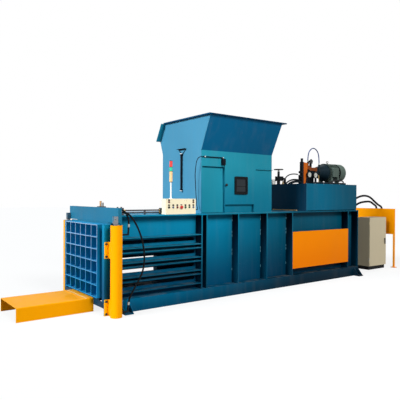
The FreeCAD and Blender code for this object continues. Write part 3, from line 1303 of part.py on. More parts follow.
def cord(name, route, radius):
    """Hose or cable: straight runs joined by tangent arcs."""
    edges = []
    radii = []
    point = V(*route[0])
    for before, corner, after in zip(route, route[1:], route[2:]):
        start, middle, end, bend = tangent_arc(before, corner, after)
        edges.append(Part.LineSegment(point, start).toShape())
        edges.append(Part.Arc(start, middle, end).toShape())
        radii.append(bend)
        point = end
    edges.append(Part.LineSegment(point, V(*route[-1])).toShape())
    path = Part.Wire(edges)
    circle = Part.Wire([Part.makeCircle(radius, V(*route[0]), V(*route[1]) - V(*route[0]))])
    solid = path.makePipeShell([circle], True, False)
    ideal = math.pi * radius ** 2 * path.Length
    print("%s: length %.0f, volume ratio %.4f, bend radii in diameters: %s"
          % (name, path.Length, solid.Volume / ideal,
             ", ".join("%.1f" % (bend / (2 * radius)) for bend in radii)))
    return solid


def build():
    """Write every node."""
    os.makedirs("parts", exist_ok=True)
    sides = {
        "base_beam": base_beam(),
        "side_wall": side_wall(),
        "side_ribs": side_ribs(),
        "gate_post": gate_post(),
        "door_cylinder": door_cylinder(),
        "cylinder_guard": cylinder_guard(),
        "lift_rod": lift_rod(),
    }
    for name, shape in sides.items():
        save(name + "_near", shape)
        save(name + "_far", far(shape))
    nodes = {
        "chamber_floor": chamber_floor(),
        "roof_front": roof(FRONT, CHUTE_FRONT + CHUTE_SHEET),
        "roof_rear": roof(CHUTE_REAR - CHUTE_SHEET, REAR),
        "side_cover": side_cover(),
        "end_frame": end_frame(),
        "main_cylinder": main_cylinder(),
        "rear_stand": rear_stand(),
        "guard_bolts": guard_bolts(),
        "door_plate": door_plate(),
        "door_grid": door_grid(),
        "lifting_beam": lifting_beam(),
        "ram_head": ram_head(),
        "ram_rod": ram_rod(),
        "hopper_front": hopper_front(),
        "hopper_near": hopper_near(),
        "hopper_far": hopper_far(),
        "hopper_rear": hopper_rear(),
        "access_door": access_door(),
        "inspection_window": inspection_window(),
        "limit_switch": limit_switch(),
        "sensor_mast": sensor_mast(),
        "control_box": control_box(),
        "selector_switch": selector_switch(),
        "stop_button": button(2, BUTTON_RADIUS, BUTTON_CAP),
        "emergency_stop": button(3, MUSHROOM_RADIUS, MUSHROOM_CAP),
        "start_button": button(4, BUTTON_RADIUS, BUTTON_CAP),
        "lamp_pole": lamp_pole(),
        "lamp_lenses": lamp_lenses(),
        "oil_tank": oil_tank(),
        "motor": motor(),
        "pump": pump(),
        "valve_block": valve_block(),
        "return_valve": return_valve(),
        "handwheel": handwheel(),
        "star_knob": star_knob(),
        "cabinet_shell": cabinet_shell(),
        "cabinet_door": cabinet_door(),
        "cabinet_handle": cabinet_handle(),
        "bale_platform": bale_platform(),
        "roof_pipes": roof_pipes(),
        "door_hose_upper": cord("door_hose_upper", UPPER_ROUTE, LIFT_HOSE_RADIUS),
        "door_hose_lower": cord("door_hose_lower", LOWER_ROUTE, LIFT_HOSE_RADIUS),
        "main_hose_upper": cord("main_hose_upper", PRESS_UPPER_ROUTE, PRESS_HOSE_RADIUS),
        "main_hose_lower": cord("main_hose_lower", PRESS_LOWER_ROUTE, PRESS_HOSE_RADIUS),
        "pump_hose": cord("pump_hose", PUMP_ROUTE, PUMP_HOSE_RADIUS),
        "switch_cable": cord("switch_cable", CABLE_ROUTE, SWITCH_CABLE_RADIUS),
    }
    for name, shape in nodes.items():
        save(name, shape)


build()
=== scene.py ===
"""Looks of a horizontal recycling baler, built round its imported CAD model.

All sizes are in metres in the model's own frame: the origin is on the floor under the middle of the
press body, +X runs to the main cylinder, -Y is the operator's side and +Z is up.
"""
from __future__ import annotations

import logging
import math
from dataclasses import dataclass, field
from enum import Enum
from typing import ClassVar, Sequence

import bmesh
import bpy
import numpy as np
from bpy.types import Material, Node, NodeSocket, NodeTree, Object
from mathutils import Matrix, Vector


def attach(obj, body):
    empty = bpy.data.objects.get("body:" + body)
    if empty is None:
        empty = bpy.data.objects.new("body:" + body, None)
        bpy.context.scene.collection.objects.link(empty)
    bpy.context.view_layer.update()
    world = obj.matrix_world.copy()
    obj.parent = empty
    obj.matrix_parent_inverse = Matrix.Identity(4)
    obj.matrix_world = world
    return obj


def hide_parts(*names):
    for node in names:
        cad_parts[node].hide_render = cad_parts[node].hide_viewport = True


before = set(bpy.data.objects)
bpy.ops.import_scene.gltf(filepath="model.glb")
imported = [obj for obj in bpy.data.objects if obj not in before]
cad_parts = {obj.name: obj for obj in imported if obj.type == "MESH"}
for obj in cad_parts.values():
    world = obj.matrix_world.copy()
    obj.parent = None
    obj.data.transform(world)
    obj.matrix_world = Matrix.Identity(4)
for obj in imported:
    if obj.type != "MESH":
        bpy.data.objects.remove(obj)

LOG = logging.getLogger("baler")
Array = np.ndarray
Point = tuple[float, float, float]
Colour = tuple[float, float, float]
Span = tuple[float | None, float | None]
Pair = tuple[float, float]
Profile = tuple[Pair, ...]  # radius and height of each ring of a turned shape
Route = tuple[Point, Point, Point]  # start, pull and end of a bow
Ring = tuple[float, float, float]  # inner radius, outer radius and thickness

ANY: Span = (None, None)
ALONG: Point = (1, 0, 0)
OUT: Point = (0, -1, 0)
UP: Point = (0, 0, 1)
PHOTO_PIXELS = 400.0
SENSOR_MM = 36.0
SMALL = 1e-6
ARC_POINTS = 5
WELD_DISTANCE = 2e-6
MIX_SHARE, MIX_FIRST, MIX_SECOND, MIX_RESULT = 0, 6, 7, 2  # colour sockets of a Mix node
SMOOTH_ANGLE = math.radians(40)


def linear(red: float, green: float, blue: float) -> Colour:
    """Turn a colour of 0 to 255 sRGB values into linear light.

    Args:
        red: red, 0 to 255.
        green: green, 0 to 255.
        blue: blue, 0 to 255.

    Returns:
        The linear colour. Each channel is ((c + 0.055) / 1.055) to the power 2.4.
    """
    channels = np.array([red, green, blue]) / 255.0
    low = channels / 12.92
    high = ((channels + 0.055) / 1.055) ** 2.4
    return tuple(float(value) for value in np.where(channels <= 0.04045, low, high))


# ---- node trees -------------------------------------------------------------------------
class Tree:
    """A node tree that is filled from left to right."""

    def __init__(self, tree: NodeTree) -> None:
        """Take a node tree to fill."""
        self.tree = tree
        self.count = 0

    def add(self, kind: str, **settings: object) -> Node:
        """Add a node.

        Args:
            kind: Blender's name of the node type.
            settings: attributes to set on it.

        Returns:
            The new node.
        """
        node = self.tree.nodes.new(kind)
        node.location = (180 * (self.count % 9), -220 * (self.count // 9))
        self.count += 1
        for name, value in settings.items():
            setattr(node, name, value)
        return node

    def link(self, source: NodeSocket, target: NodeSocket) -> None:
        """Join an output to an input."""
        self.tree.links.new(source, target)

    def feed(self, target: NodeSocket, value: object) -> None:
        """Give an input its value.

        Args:
            target: the input.
            value: a number, a colour or another node's output.
        """
        if isinstance(value, (int, float)):
            target.default_value = float(value)
        elif isinstance(value, tuple):
            target.default_value = (*value, 1.0)
        else:
            self.link(value, target)

    def noise(self, place: NodeSocket, scale: float, detail: float = 3.0) -> NodeSocket:
        """Add a noise texture.

        Args:
            place: coordinates.
            scale: noise scale, in features per metre.
            detail: octaves.

        Returns:
            The noise value, about 0.5 on average.
        """
        node = self.add("ShaderNodeTexNoise")
        node.inputs["Scale"].default_value = scale
        node.inputs["Detail"].default_value = detail
        self.link(place, node.inputs["Vector"])
        return node.outputs["Fac"]

    def stretched(self, place: NodeSocket, scale: Point) -> NodeSocket:
        """Scale coordinates by axis.

        Args:
            place: coordinates.
            scale: factors along X, Y and Z.

        Returns:
            The scaled coordinates.
        """
        node = self.add("ShaderNodeMapping")
        node.inputs["Scale"].default_value = scale
        self.link(place, node.inputs["Vector"])
        return node.outputs["Vector"]

    def ramp(self, value: NodeSocket, low: object, high: object,
             start: float = 0.0, end: float = 1.0) -> NodeSocket:
        """Map a value smoothly from low..high to start..end.

        Args:
            value: the value.
            low: where the change starts, a number or a socket.
            high: where it ends, a number or a socket.
            start: result at low.
            end: result at high.

        Returns:
            The mapped value.
        """
        node = self.add("ShaderNodeMapRange", interpolation_type="SMOOTHSTEP")
        self.link(value, node.inputs["Value"])
        for name, number in (("From Min", low), ("From Max", high), ("To Min", start), ("To Max", end)):
            self.feed(node.inputs[name], number)
        return node.outputs["Result"]

    def math(self, operation: str, left: object, right: object) -> NodeSocket:
        """Add a math node.

        Args:
            operation: Blender's name of the operation.
            left: a number or a socket.
            right: a number or a socket.

        Returns:
            The result.
        """
        node = self.add("ShaderNodeMath", operation=operation)
        self.feed(node.inputs[0], left)
        self.feed(node.inputs[1], right)
        return node.outputs["Value"]

    def mix(self, share: object, first: object, second: object) -> NodeSocket:
        """Mix two colours.

        Args:
            share: a number or a socket, 0 for the first colour.
            first: a colour or a socket.
            second: a colour or a socket.

        Returns:
            The mixed colour.
        """
        node = self.add("ShaderNodeMix", data_type="RGBA")
        for index, value in ((MIX_SHARE, share), (MIX_FIRST, first), (MIX_SECOND, second)):
            self.feed(node.inputs[index], value)
        return node.outputs[MIX_RESULT]

    def place(self) -> NodeSocket:
        """Give the object's own coordinates."""
        return self.add("ShaderNodeTexCoord").outputs["Object"]

    def apart(self, vector: NodeSocket) -> bpy.types.bpy_prop_collection:
        """Split a vector.

        Args:
            vector: the vector.

        Returns:
            Its values, by the names X, Y and Z.
        """
        node = self.add("ShaderNodeSeparateXYZ")
        self.link(vector, node.inputs["Vector"])
        return node.outputs

    def inside(self, place: NodeSocket, spans: tuple[Span, Span, Span]) -> NodeSocket:
        """Give 1 inside a box and 0 outside it.

        Args:
            place: coordinates.
            spans: lowest and highest X, Y and Z; None is no limit.

        Returns:
            The mask.
        """
        split = self.apart(place)
        mask: object = 1.0
        for axis, limits in enumerate(spans):
            for test, limit in zip(("GREATER_THAN", "LESS_THAN"), limits):
                if limit is not None:
                    mask = self.math("MULTIPLY", self.math(test, split[axis], limit), mask)
        return mask


def effect_group(name: str, inputs: dict[str, float | Colour]) -> tuple[Tree, object, object]:
    """Start a shader node group with outputs Colour, Roughness and Height.

    Args:
        name: the group's name.
        inputs: first value of each input by name; a colour makes a colour socket.

    Returns:
        Its tree, the sockets of its inputs and the sockets that its outputs are led to.
    """
    group = bpy.data.node_groups.new(name, "ShaderNodeTree")
    for label, value in inputs.items():
        kind = "NodeSocketColor" if isinstance(value, tuple) else "NodeSocketFloat"
        socket = group.interface.new_socket(name=label, in_out="INPUT", socket_type=kind)
        socket.default_value = (*value, 1.0) if isinstance(value, tuple) else value
    for label, kind in (("Colour", "NodeSocketColor"), ("Roughness", "NodeSocketFloat"),
                        ("Height", "NodeSocketFloat")):
        group.interface.new_socket(name=label, in_out="OUTPUT", socket_type=kind)
    tree = Tree(group)
    return tree, tree.add("NodeGroupInput").outputs, tree.add("NodeGroupOutput").inputs


def paint_wear_and_shade_group() -> NodeTree:
    """Build the shared paint effect: painted shade towards the floor, faint patches and runs, dust on
    ledges, scuffs.

    Returns:
        A group with outputs Colour, Roughness and Height.
    """
    grey = (0.5, 0.5, 0.5)
    tree, given, result = effect_group("paint_wear_and_shade", {
        "Colour": grey, "Low Colour": grey, "Low Height": 0.1, "High Height": 1.3,
        "Dust": (0.3, 0.28, 0.25), "Patches": 0.2, "Runs": 0.1, "Scuffs": 0.3, "Gloss": 0.35})
    place = tree.place()
    patch = tree.ramp(tree.noise(place, 1.1, 4.0), 0.3, 0.7)
    runs = tree.ramp(tree.noise(tree.stretched(place, (9.0, 9.0, 0.7)), 1.0, 3.0), 0.45, 0.75)
    speck = tree.ramp(tree.noise(place, 60.0, 4.0), 0.60, 0.72)
    scuff_area = tree.ramp(tree.noise(place, 3.1, 4.0), 0.52, 0.68)
    peel = tree.noise(place, 420.0, 2.0)
    facing = tree.apart(tree.add("ShaderNodeNewGeometry").outputs["Normal"])
    settled = tree.ramp(tree.noise(place, 7.0, 5.0), 0.42, 0.62)
    ledge = tree.math("MULTIPLY", tree.ramp(facing["Z"], 0.8, 1.0), settled)
    # painted shade: the colour turns to Low Colour towards the floor, between Low Height and High Height
    low = tree.ramp(tree.apart(place)["Z"], given["Low Height"], given["High Height"], 1.0, 0.0)
    body = tree.mix(low, given["Colour"], given["Low Colour"])
    shade = tree.math("MULTIPLY", tree.math("SUBTRACT", patch, 0.5), given["Patches"])
    toned = tree.add("ShaderNodeVectorMath", operation="SCALE")
    tree.link(body, toned.inputs[0])
    tree.link(tree.math("ADD", shade, 1.0), toned.inputs["Scale"])
    streaks = tree.math("MULTIPLY", runs, given["Runs"])
    streaked = tree.mix(streaks, toned.outputs["Vector"], given["Dust"])
    scuffs = tree.math("MULTIPLY", tree.math("MULTIPLY", speck, scuff_area), given["Scuffs"])
    dust = tree.math("ADD", scuffs, tree.math("MULTIPLY", ledge, 0.16))
    dusty = tree.mix(dust, streaked, given["Dust"])
    rough = tree.math("ADD", given["Gloss"], tree.math("MULTIPLY", ledge, 0.25))
    tree.link(dusty, result["Colour"])
    tree.link(tree.math("ADD", rough, tree.math("MULTIPLY", patch, 0.06)), result["Roughness"])
    tree.link(tree.math("SUBTRACT", tree.math("MULTIPLY", peel, 0.5), tree.math("MULTIPLY", scuffs, 0.6)),
              result["Height"])
    return tree.tree


def worked_metal_group() -> NodeTree:
    """Build the shared metal effect: turning marks, oil film and small dents.

    Returns:
        A group with outputs Colour, Roughness and Height.
    """
    tree, given, result = effect_group("worked_metal", {
        "Colour": (0.6, 0.6, 0.6), "Film": (0.1, 0.09, 0.08), "Film Share": 0.3, "Gloss": 0.3})
    place = tree.place()
    marks = tree.noise(tree.stretched(place, (60.0, 60.0, 900.0)), 1.0, 2.0)
    film = tree.ramp(tree.noise(place, 28.0, 5.0), 0.4, 0.7)
    dents = tree.noise(place, 130.0, 3.0)
    share = tree.math("MULTIPLY", film, given["Film Share"])
    rough = tree.math("ADD", given["Gloss"], tree.math("MULTIPLY", film, 0.2))
    tree.link(tree.mix(share, given["Colour"], given["Film"]), result["Colour"])
    tree.link(tree.math("ADD", rough, tree.math("MULTIPLY", marks, 0.08)), result["Roughness"])
    tree.link(tree.math("ADD", tree.math("MULTIPLY", marks, 0.3), dents), result["Height"])
    return tree.tree


@dataclass(frozen=True)
class Zone:
    """A box-shaped part of a piece that has a colour of its own; many zones paint shade, and some paint
    light.
    """

    colour: Colour
    x: Span = ANY
    y: Span = ANY
    z: Span = ANY


@dataclass(frozen=True)
class Finish:
    """Base of every finish; relief is its bump strength and depth in metres."""

    relief: ClassVar[Pair] = (0.12, 0.0006)
    name: str
    colour: Colour
    zones: tuple[Zone, ...] = ()
    slot: str = ""

    def build(self, groups: dict[str, NodeTree]) -> Material:
        """Make the material.

        Args:
            groups: the shared node groups.

        Returns:
            The new material.
        """
        material = bpy.data.materials.new(self.name)
        material.use_nodes = True
        material.diffuse_color = (*self.colour, 1.0)
        self.dress(Tree(material.node_tree), material.node_tree.nodes["Principled BSDF"], groups)
        return material

    def dress(self, tree: Tree, shader: Node, groups: dict[str, NodeTree]) -> None:
        """Fill in the shader; each finish has its own."""
        raise NotImplementedError

    def zoned(self, tree: Tree) -> object:
        """Change the colour from zone to zone.

        Args:
            tree: the material's tree.

        Returns:
            The plain colour, or the output that gives it by place.
        """
        colour: object = self.colour
        if self.zones:
            place = tree.place()
            for zone in self.zones:
                colour = tree.mix(tree.inside(place, (zone.x, zone.y, zone.z)), colour, zone.colour)
        return colour

    def bump(self, tree: Tree, shader: Node, height: NodeSocket) -> None:
        """Lead a height into the shader's normal.

        Args:
            tree: the material's tree.
            shader: its shader.
            height: the height.
        """
        node = tree.add("ShaderNodeBump")
        node.inputs["Strength"].default_value, node.inputs["Distance"].default_value = self.relief
        tree.link(height, node.inputs["Height"])
        tree.link(node.outputs["Normal"], shader.inputs["Normal"])

    def grouped(self, tree: Tree, shader: Node, group: NodeTree, values: dict[str, object]) -> None:
        """Place a shared group with its own values and join it to the shader.

        Args:
            tree: the material's tree.
            shader: its shader.
            group: the shared group.
            values: input values by name.
        """
        node = tree.add("ShaderNodeGroup")
        node.node_tree = group
        for label, value in values.items():
            tree.feed(node.inputs[label], value)
        tree.link(node.outputs["Colour"], shader.inputs["Base Color"])
        tree.link(node.outputs["Roughness"], shader.inputs["Roughness"])
        self.bump(tree, shader, node.outputs["Height"])


@dataclass(frozen=True)
class Paint(Finish):
    """Sprayed machine paint; painted shade can darken it towards the floor and along X."""

    # low and span: painted shade, darker towards the floor; dim and reach: painted shade, darker along X
    low: Colour | None = None
    span: Pair = (0.15, 1.30)
    dust: Colour = (0.30, 0.28, 0.25)
    patches: float = 0.16
    runs: float = 0.03
    scuffs: float = 0.12
    gloss: float = 0.36
    shine: float = 0.05
    dim: float = 0.0
    reach: Pair = (0.0, 2.4)

    def shaded_along_x(self, tree: Tree, colour: object) -> object:
        """Paint shade along X: darken a colour by the dim share, between the two ends of reach.

        Args:
            tree: the material's tree.
            colour: a colour or a socket.

        Returns:
            The colour as it was, or the output that darkens it.
        """
        if not self.dim:
            return colour
        share = tree.math("MULTIPLY", tree.ramp(tree.apart(tree.place())["X"], *self.reach), self.dim)
        return tree.mix(share, colour, (0.0, 0.0, 0.0))

    def dress(self, tree: Tree, shader: Node, groups: dict[str, NodeTree]) -> None:
        """Use the shared paint wear and painted shade.

        Args:
            tree: the material's tree.
            shader: its shader.
            groups: the shared node groups.
        """
        shader.inputs["Specular IOR Level"].default_value = self.shine
        colour = self.shaded_along_x(tree, self.zoned(tree))
        low = self.shaded_along_x(tree, self.low) if self.low else colour
        values = {"Colour": colour, "Low Colour": low, "Low Height": self.span[0],
                  "High Height": self.span[1], "Dust": self.dust, "Patches": self.patches,
                  "Runs": self.runs, "Scuffs": self.scuffs, "Gloss": self.gloss}
        self.grouped(tree, shader, groups["paint"], values)


@dataclass(frozen=True)
class Metal(Finish):
    """Bare, plated or blackened metal."""

    relief: ClassVar[Pair] = (0.1, 0.0004)
    film: Colour = (0.08, 0.07, 0.06)
    film_share: float = 0.25
    gloss: float = 0.28
    metallic: float = 1.0

    def dress(self, tree: Tree, shader: Node, groups: dict[str, NodeTree]) -> None:
        """Use the shared worked metal.

        Args:
            tree: the material's tree.
            shader: its shader.
            groups: the shared node groups.
        """
        shader.inputs["Metallic"].default_value = self.metallic
        values = {"Colour": self.zoned(tree), "Film": self.film, "Film Share": self.film_share,
                  "Gloss": self.gloss}
        self.grouped(tree, shader, groups["metal"], values)


@dataclass(frozen=True)
class Moulded(Finish):
    """Rubber or plastic with a fine grain and a little dust."""

    relief: ClassVar[Pair] = (0.15, 0.0004)
    rough: float = 0.5
    grain: float = 700.0
    dust: Colour = (0.12, 0.12, 0.12)
    dust_share: float = 0.08
    coat: float = 0.0
    shine: float = 0.3

    def dress(self, tree: Tree, shader: Node, groups: dict[str, NodeTree]) -> None:
        """Mix the colour with dust, and add the grain.

        Args:
            tree: the material's tree.
            shader: its shader.
            groups: the shared node groups.
        """
        place = tree.place()
        dust = tree.math("MULTIPLY", tree.ramp(tree.noise(place, 35.0, 5.0), 0.45, 0.75), self.dust_share)
        tree.link(tree.mix(dust, self.zoned(tree), self.dust), shader.inputs["Base Color"])
        rough = tree.math("ADD", tree.math("MULTIPLY", dust, 1.5), self.rough)
        tree.link(rough, shader.inputs["Roughness"])
        shader.inputs["Coat Weight"].default_value = self.coat
        shader.inputs["Specular IOR Level"].default_value = self.shine
        self.bump(tree, shader, tree.noise(place, self.grain, 2.0))


@dataclass(frozen=True)
class Timber(Finish):
    """Sawn packing timber."""

    relief: ClassVar[Pair] = (0.3, 0.001)
    dark: Colour = (0.30, 0.19, 0.10)

    def dress(self, tree: Tree, shader: Node, groups: dict[str, NodeTree]) -> None:
        """Draw the grain as noise stretched along Y.

        Args:
            tree: the material's tree.
            shader: its shader.
            groups: the shared node groups.
        """
        place = tree.place()
        grain = tree.noise(tree.stretched(place, (90.0, 3.0, 90.0)), 1.0, 5.0)
        tone = tree.mix(tree.ramp(grain, 0.35, 0.65), self.colour, self.dark)
        tree.link(tone, shader.inputs["Base Color"])
        tree.link(tree.ramp(grain, 0.3, 0.7, 0.6, 0.85), shader.inputs["Roughness"])
        self.bump(tree, shader, grain)


HOPPER_TEAL = linear(36, 139, 160)
# painted shadow for the access door's right and top edges
DOOR_EDGE_SHADOW = linear(8, 92, 120)
# painted light for the guard lugs
LUG_PAINTED_LIGHT = linear(255, 196, 0)
CASTING = linear(120, 62, 30)
VALVE_BLACK = linear(26, 28, 32)
PANE = (0.022, 0.026, 0.030)


class Shade(Enum):
    """The finishes of the machine."""

    # low: painted shade, darker below 2.2 m
    HOPPER = Paint("hopper_teal_enamel", HOPPER_TEAL, low=linear(28, 132, 154), span=(1.5, 2.2),
                   patches=0.10)
    # painted shade: darker below 2.2 m and towards +X, darker on the downward-facing near flare, and a
    # dark band of shade along the rim
    HOPPER_SIDE = Paint("hopper_side_enamel", HOPPER_TEAL, low=linear(18, 118, 144), span=(1.5, 2.2),
                        patches=0.10, dim=0.16, reach=(-1.2, 0.2),
                        zones=(Zone(linear(6, 90, 130), y=(None, -0.5630), z=(2.3455, None)),
                               Zone(linear(4, 52, 78), z=(2.8725, None))))
    # a lighter, greyer copy of the hopper teal for the front wall: painted light and sheen; the dark band
    # along the rim is painted shade
    HOPPER_FRONT = Paint("hopper_front_enamel", linear(74, 138, 166), patches=0.10,
                         zones=(Zone(linear(4, 70, 104), z=(2.8725, None)),))
    # low and dim: painted shade, darker towards the floor and towards +X
    BODY = Paint("press_teal_enamel", linear(6, 129, 165), low=linear(0, 74, 108), span=(0.20, 1.30),
                 dim=0.66, reach=(-1.5, 1.2))
    # low and dim: painted shade; the near-black zone is painted shade on the rib faces inside the bays,
    # all but their outer edges
    RIBS = Paint("rib_teal_enamel", linear(12, 120, 150), low=linear(2, 70, 96), span=(0.20, 1.30),
                 dim=0.55, reach=(-0.6, 1.4),
                 zones=(Zone(linear(0, 22, 40), x=(-1.345, None), y=(-0.7145, 0.7145)),))
    # a darker teal, low and dim: painted shade, darker towards the floor and towards +X
    BEAM = Paint("base_teal_enamel", linear(0, 102, 140), low=linear(0, 76, 108), span=(0.0, 0.22),
                 dim=0.86, reach=(-3.0, 1.2))
    # a near-black copy of the body teal: painted shade under the gate
    SILL = Paint("sill_enamel", linear(0, 50, 72), patches=0.2, scuffs=0.2)
    # low: painted shade, darker towards the floor
    GATE = Paint("gate_teal_enamel", linear(30, 108, 136), low=linear(10, 84, 114), span=(0.2, 1.3))
    # low: painted shade, darker towards the floor; the darker near side is painted shade beside the post;
    # the pale front edges of the ribs are painted highlights
    GRID = Paint("gate_grid_enamel", linear(16, 152, 205), low=linear(10, 132, 186), span=(0.2, 1.3),
                 zones=(Zone(linear(4, 108, 144), y=(None, -0.5675)),
                        Zone(linear(132, 164, 196), x=(None, -2.9965))))
    # dim: painted shade, darker towards +X; the darker -X end is painted shade under the hopper
    TANK = Paint("tank_teal_enamel", linear(6, 94, 122), patches=0.12, dim=0.35, reach=(1.5, 2.7),
                 zones=(Zone(linear(4, 58, 84), x=(None, 1.1505)),))
    # low: painted shade, darker towards the floor; the edge zones are painted shadow of the recess along
    # the door's right and top edges
    DOOR = Paint("door_teal_enamel", HOPPER_TEAL, low=linear(28, 132, 154), span=(1.5, 2.2), patches=0.10,
                 zones=(Zone(DOOR_EDGE_SHADOW, x=(-0.768, None)), Zone(DOOR_EDGE_SHADOW, z=(2.070, None))))
    # the pale strip is a painted highlight along the edge of the plate's seam
    PLATFORM = Paint("platform_enamel", linear(255, 167, 0), dust=linear(255, 214, 150), patches=0.03,
                     runs=0.0, scuffs=0.03,
                     zones=(Zone(linear(255, 220, 170), x=(-3.0650, -3.0510), z=(0.1885, None)),))
    # the paler zones are painted light on the guard lugs
    YELLOW = Paint("yellow_enamel", linear(255, 164, 0), dust=linear(255, 206, 130), patches=0.03,
                   runs=0.0, scuffs=0.03,
                   zones=(Zone(LUG_PAINTED_LIGHT, x=(None, -2.70), y=(-0.7225, -0.7140)),
                          Zone(LUG_PAINTED_LIGHT, x=(None, -2.70), y=(0.7140, 0.7225))))
    # low: painted shade, darker towards the floor
    ORANGE = Paint("orange_enamel", linear(240, 132, 0), low=linear(232, 120, 0), span=(0.3, 0.95),
                   patches=0.04, runs=0.01, scuffs=0.05)
    PORTAL = Paint("portal_enamel", linear(255, 156, 0), patches=0.05, runs=0.01, scuffs=0.06)
    CREAM = Paint("cream_powder_coat", linear(246, 234, 200), patches=0.04, runs=0.02, scuffs=0.08,
                  gloss=0.45)
    CABINET = Paint("cabinet_powder_coat", linear(208, 195, 165), patches=0.05, runs=0.03, scuffs=0.08,
                    gloss=0.5, zones=(Zone(linear(28, 28, 30), z=(None, 0.0779)),))
    # the darker pump end: partly a dark bell housing, partly painted shade
    MOTOR_GREEN = Paint("motor_green_enamel", linear(84, 98, 90), patches=0.10, gloss=0.42,
                        zones=(Zone(linear(120, 112, 110), z=(2.3015, None)),
                               Zone(linear(36, 48, 46), x=(None, 2.2045)),
                               Zone(linear(24, 30, 30), x=(2.4995, 2.5255))))
    VALVES = Paint("valve_and_casting_paint", linear(22, 26, 32), patches=0.2, scuffs=0.2, gloss=0.42,
                   zones=(Zone(linear(190, 92, 24), x=(1.4342, 1.5515), y=(-0.3575, None)),
                          Zone(CASTING, x=(1.5515, 1.640), y=(-0.3535, None), z=(2.120, 2.270)),
                          Zone(CASTING, x=(1.6390, None), y=(-0.3535, None), z=(2.120, 2.2035))))
    DARK = Paint("dark_machine_paint", linear(20, 30, 38), patches=0.2, scuffs=0.2, gloss=0.42,
                 slot="dark_paint")
    PUMP = Paint("pump_paint", linear(18, 34, 42), patches=0.2, scuffs=0.2, gloss=0.4)
    # pale beads: painted highlight on the welds in the dark bay corners
    WELD = Paint("weld_painted_highlight", linear(104, 160, 180), patches=0.3, gloss=0.5, slot="teal_paint")
    CHROME = Metal("hard_chrome", (0.34, 0.36, 0.38), film_share=0.3, gloss=0.2,
                   zones=(Zone((0.24, 0.25, 0.27), z=(1.2175, None)),))
    ZINC = Metal("zinc_plate", (0.42, 0.43, 0.42), film_share=0.40, gloss=0.42, slot="zinc_steel")
    BRASS = Metal("brass_fitting", (0.62, 0.42, 0.16), film_share=0.35, gloss=0.32)
    BLACK_IRON = Metal("black_iron", (0.040, 0.040, 0.043), film_share=0.4, gloss=0.45, metallic=0.6,
                       slot="black_iron")
    PIPES = Metal("blackened_pipe", (0.05, 0.055, 0.065), film_share=0.3, gloss=0.55, metallic=0.35,
                  zones=(Zone((0.30, 0.28, 0.26), z=(1.4505, None)),
                         Zone((0.55, 0.28, 0.10), y=(0.1105, None), z=(1.4505, None))))
    RUBBER = Moulded("hose_rubber", (0.007, 0.007, 0.008), rough=0.65, grain=450.0, dust_share=0.02,
                     shine=0.06, slot="black_rubber")
    # a blue-grey copy of black hose rubber: painted sheen
    SHEEN_RUBBER = Moulded("hose_rubber_painted_sheen", linear(44, 66, 112), rough=0.55, grain=450.0,
                          dust_share=0.02, shine=0.06, slot="black_rubber")
    BLACK_PLASTIC = Moulded("black_moulding", (0.012, 0.012, 0.014), rough=0.45, shine=0.15,
                            slot="black_plastic")
    DARK_GLASS = Moulded("smoked_pane", (0.003, 0.004, 0.005), rough=0.3, dust_share=0.03, shine=0.1,
                         zones=(Zone(PANE, x=(-0.500, -0.290), z=(1.690, 1.773)),
                                Zone(PANE, x=(-0.500, -0.290), z=(1.782, 1.897))))
    DARK_TUBE = Moulded("dark_tube", (0.004, 0.006, 0.010), rough=0.5, dust_share=0.02, shine=0.06)
    WHITE_PLASTIC = Moulded("white_moulding", (0.80, 0.80, 0.78), rough=0.42, dust=(0.4, 0.4, 0.38))
    DIAL = Moulded("gauge_dial", linear(196, 196, 186), rough=0.35, dust=(0.3, 0.3, 0.28), dust_share=0.2)
    BLUE_GREY = Moulded("blue_grey_lens", linear(92, 104, 140), rough=0.3, coat=0.3)
    RED_PLASTIC = Moulded("red_moulding", linear(196, 30, 22), rough=0.3, coat=0.3)
    DARK_RED_PLASTIC = Moulded("dark_red_moulding", linear(110, 26, 26), rough=0.3, coat=0.3)
    GREEN_PLASTIC = Moulded("green_moulding", linear(36, 84, 52), rough=0.3, coat=0.3)
    LENSES = Moulded("stacked_lenses", linear(240, 196, 138), rough=0.25, coat=0.4, dust_share=0.03,
                     zones=(Zone(linear(40, 190, 150), z=(1.9765, None)),
                            Zone(linear(226, 60, 54), z=(2.0375, None))))
    AMBER_DARK = Moulded("brown_lens", linear(112, 72, 44), rough=0.3, coat=0.3)
    FILTER = Paint("filter_and_valve_paint", linear(226, 224, 216), patches=0.08, gloss=0.4,
                   zones=(Zone(VALVE_BLACK, z=(1.9585, None)), Zone(VALVE_BLACK, y=(None, 0.190))))
    TIMBER = Timber("packing_timber", linear(206, 170, 120))


class Paintshop:
    """Makes each finish once and puts it on CAD nodes and new pieces."""

    def __init__(self) -> None:
        """Build the shared groups."""
        self.groups = {"paint": paint_wear_and_shade_group(), "metal": worked_metal_group()}
        self.made: dict[Shade, Material] = {}

    def material(self, shade: Shade) -> Material:
        """Give the material of a finish, made on first use.

        Args:
            shade: the finish.

        Returns:
            Its material.
        """
        if shade not in self.made:
            self.made[shade] = shade.value.build(self.groups)
        return self.made[shade]

    def coat(self, shade: Shade, *nodes: str) -> None:
        """Paint CAD nodes.

        Args:
            shade: the finish.
            nodes: names of the nodes.
        """
        for name in nodes:
            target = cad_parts[name]
            target.data.materials.clear()
            target.data.materials.append(self.material(shade))


def linked(target: Object) -> Object:
    """Put an object into the scene and give it back."""
    bpy.context.scene.collection.objects.link(target)
    return target


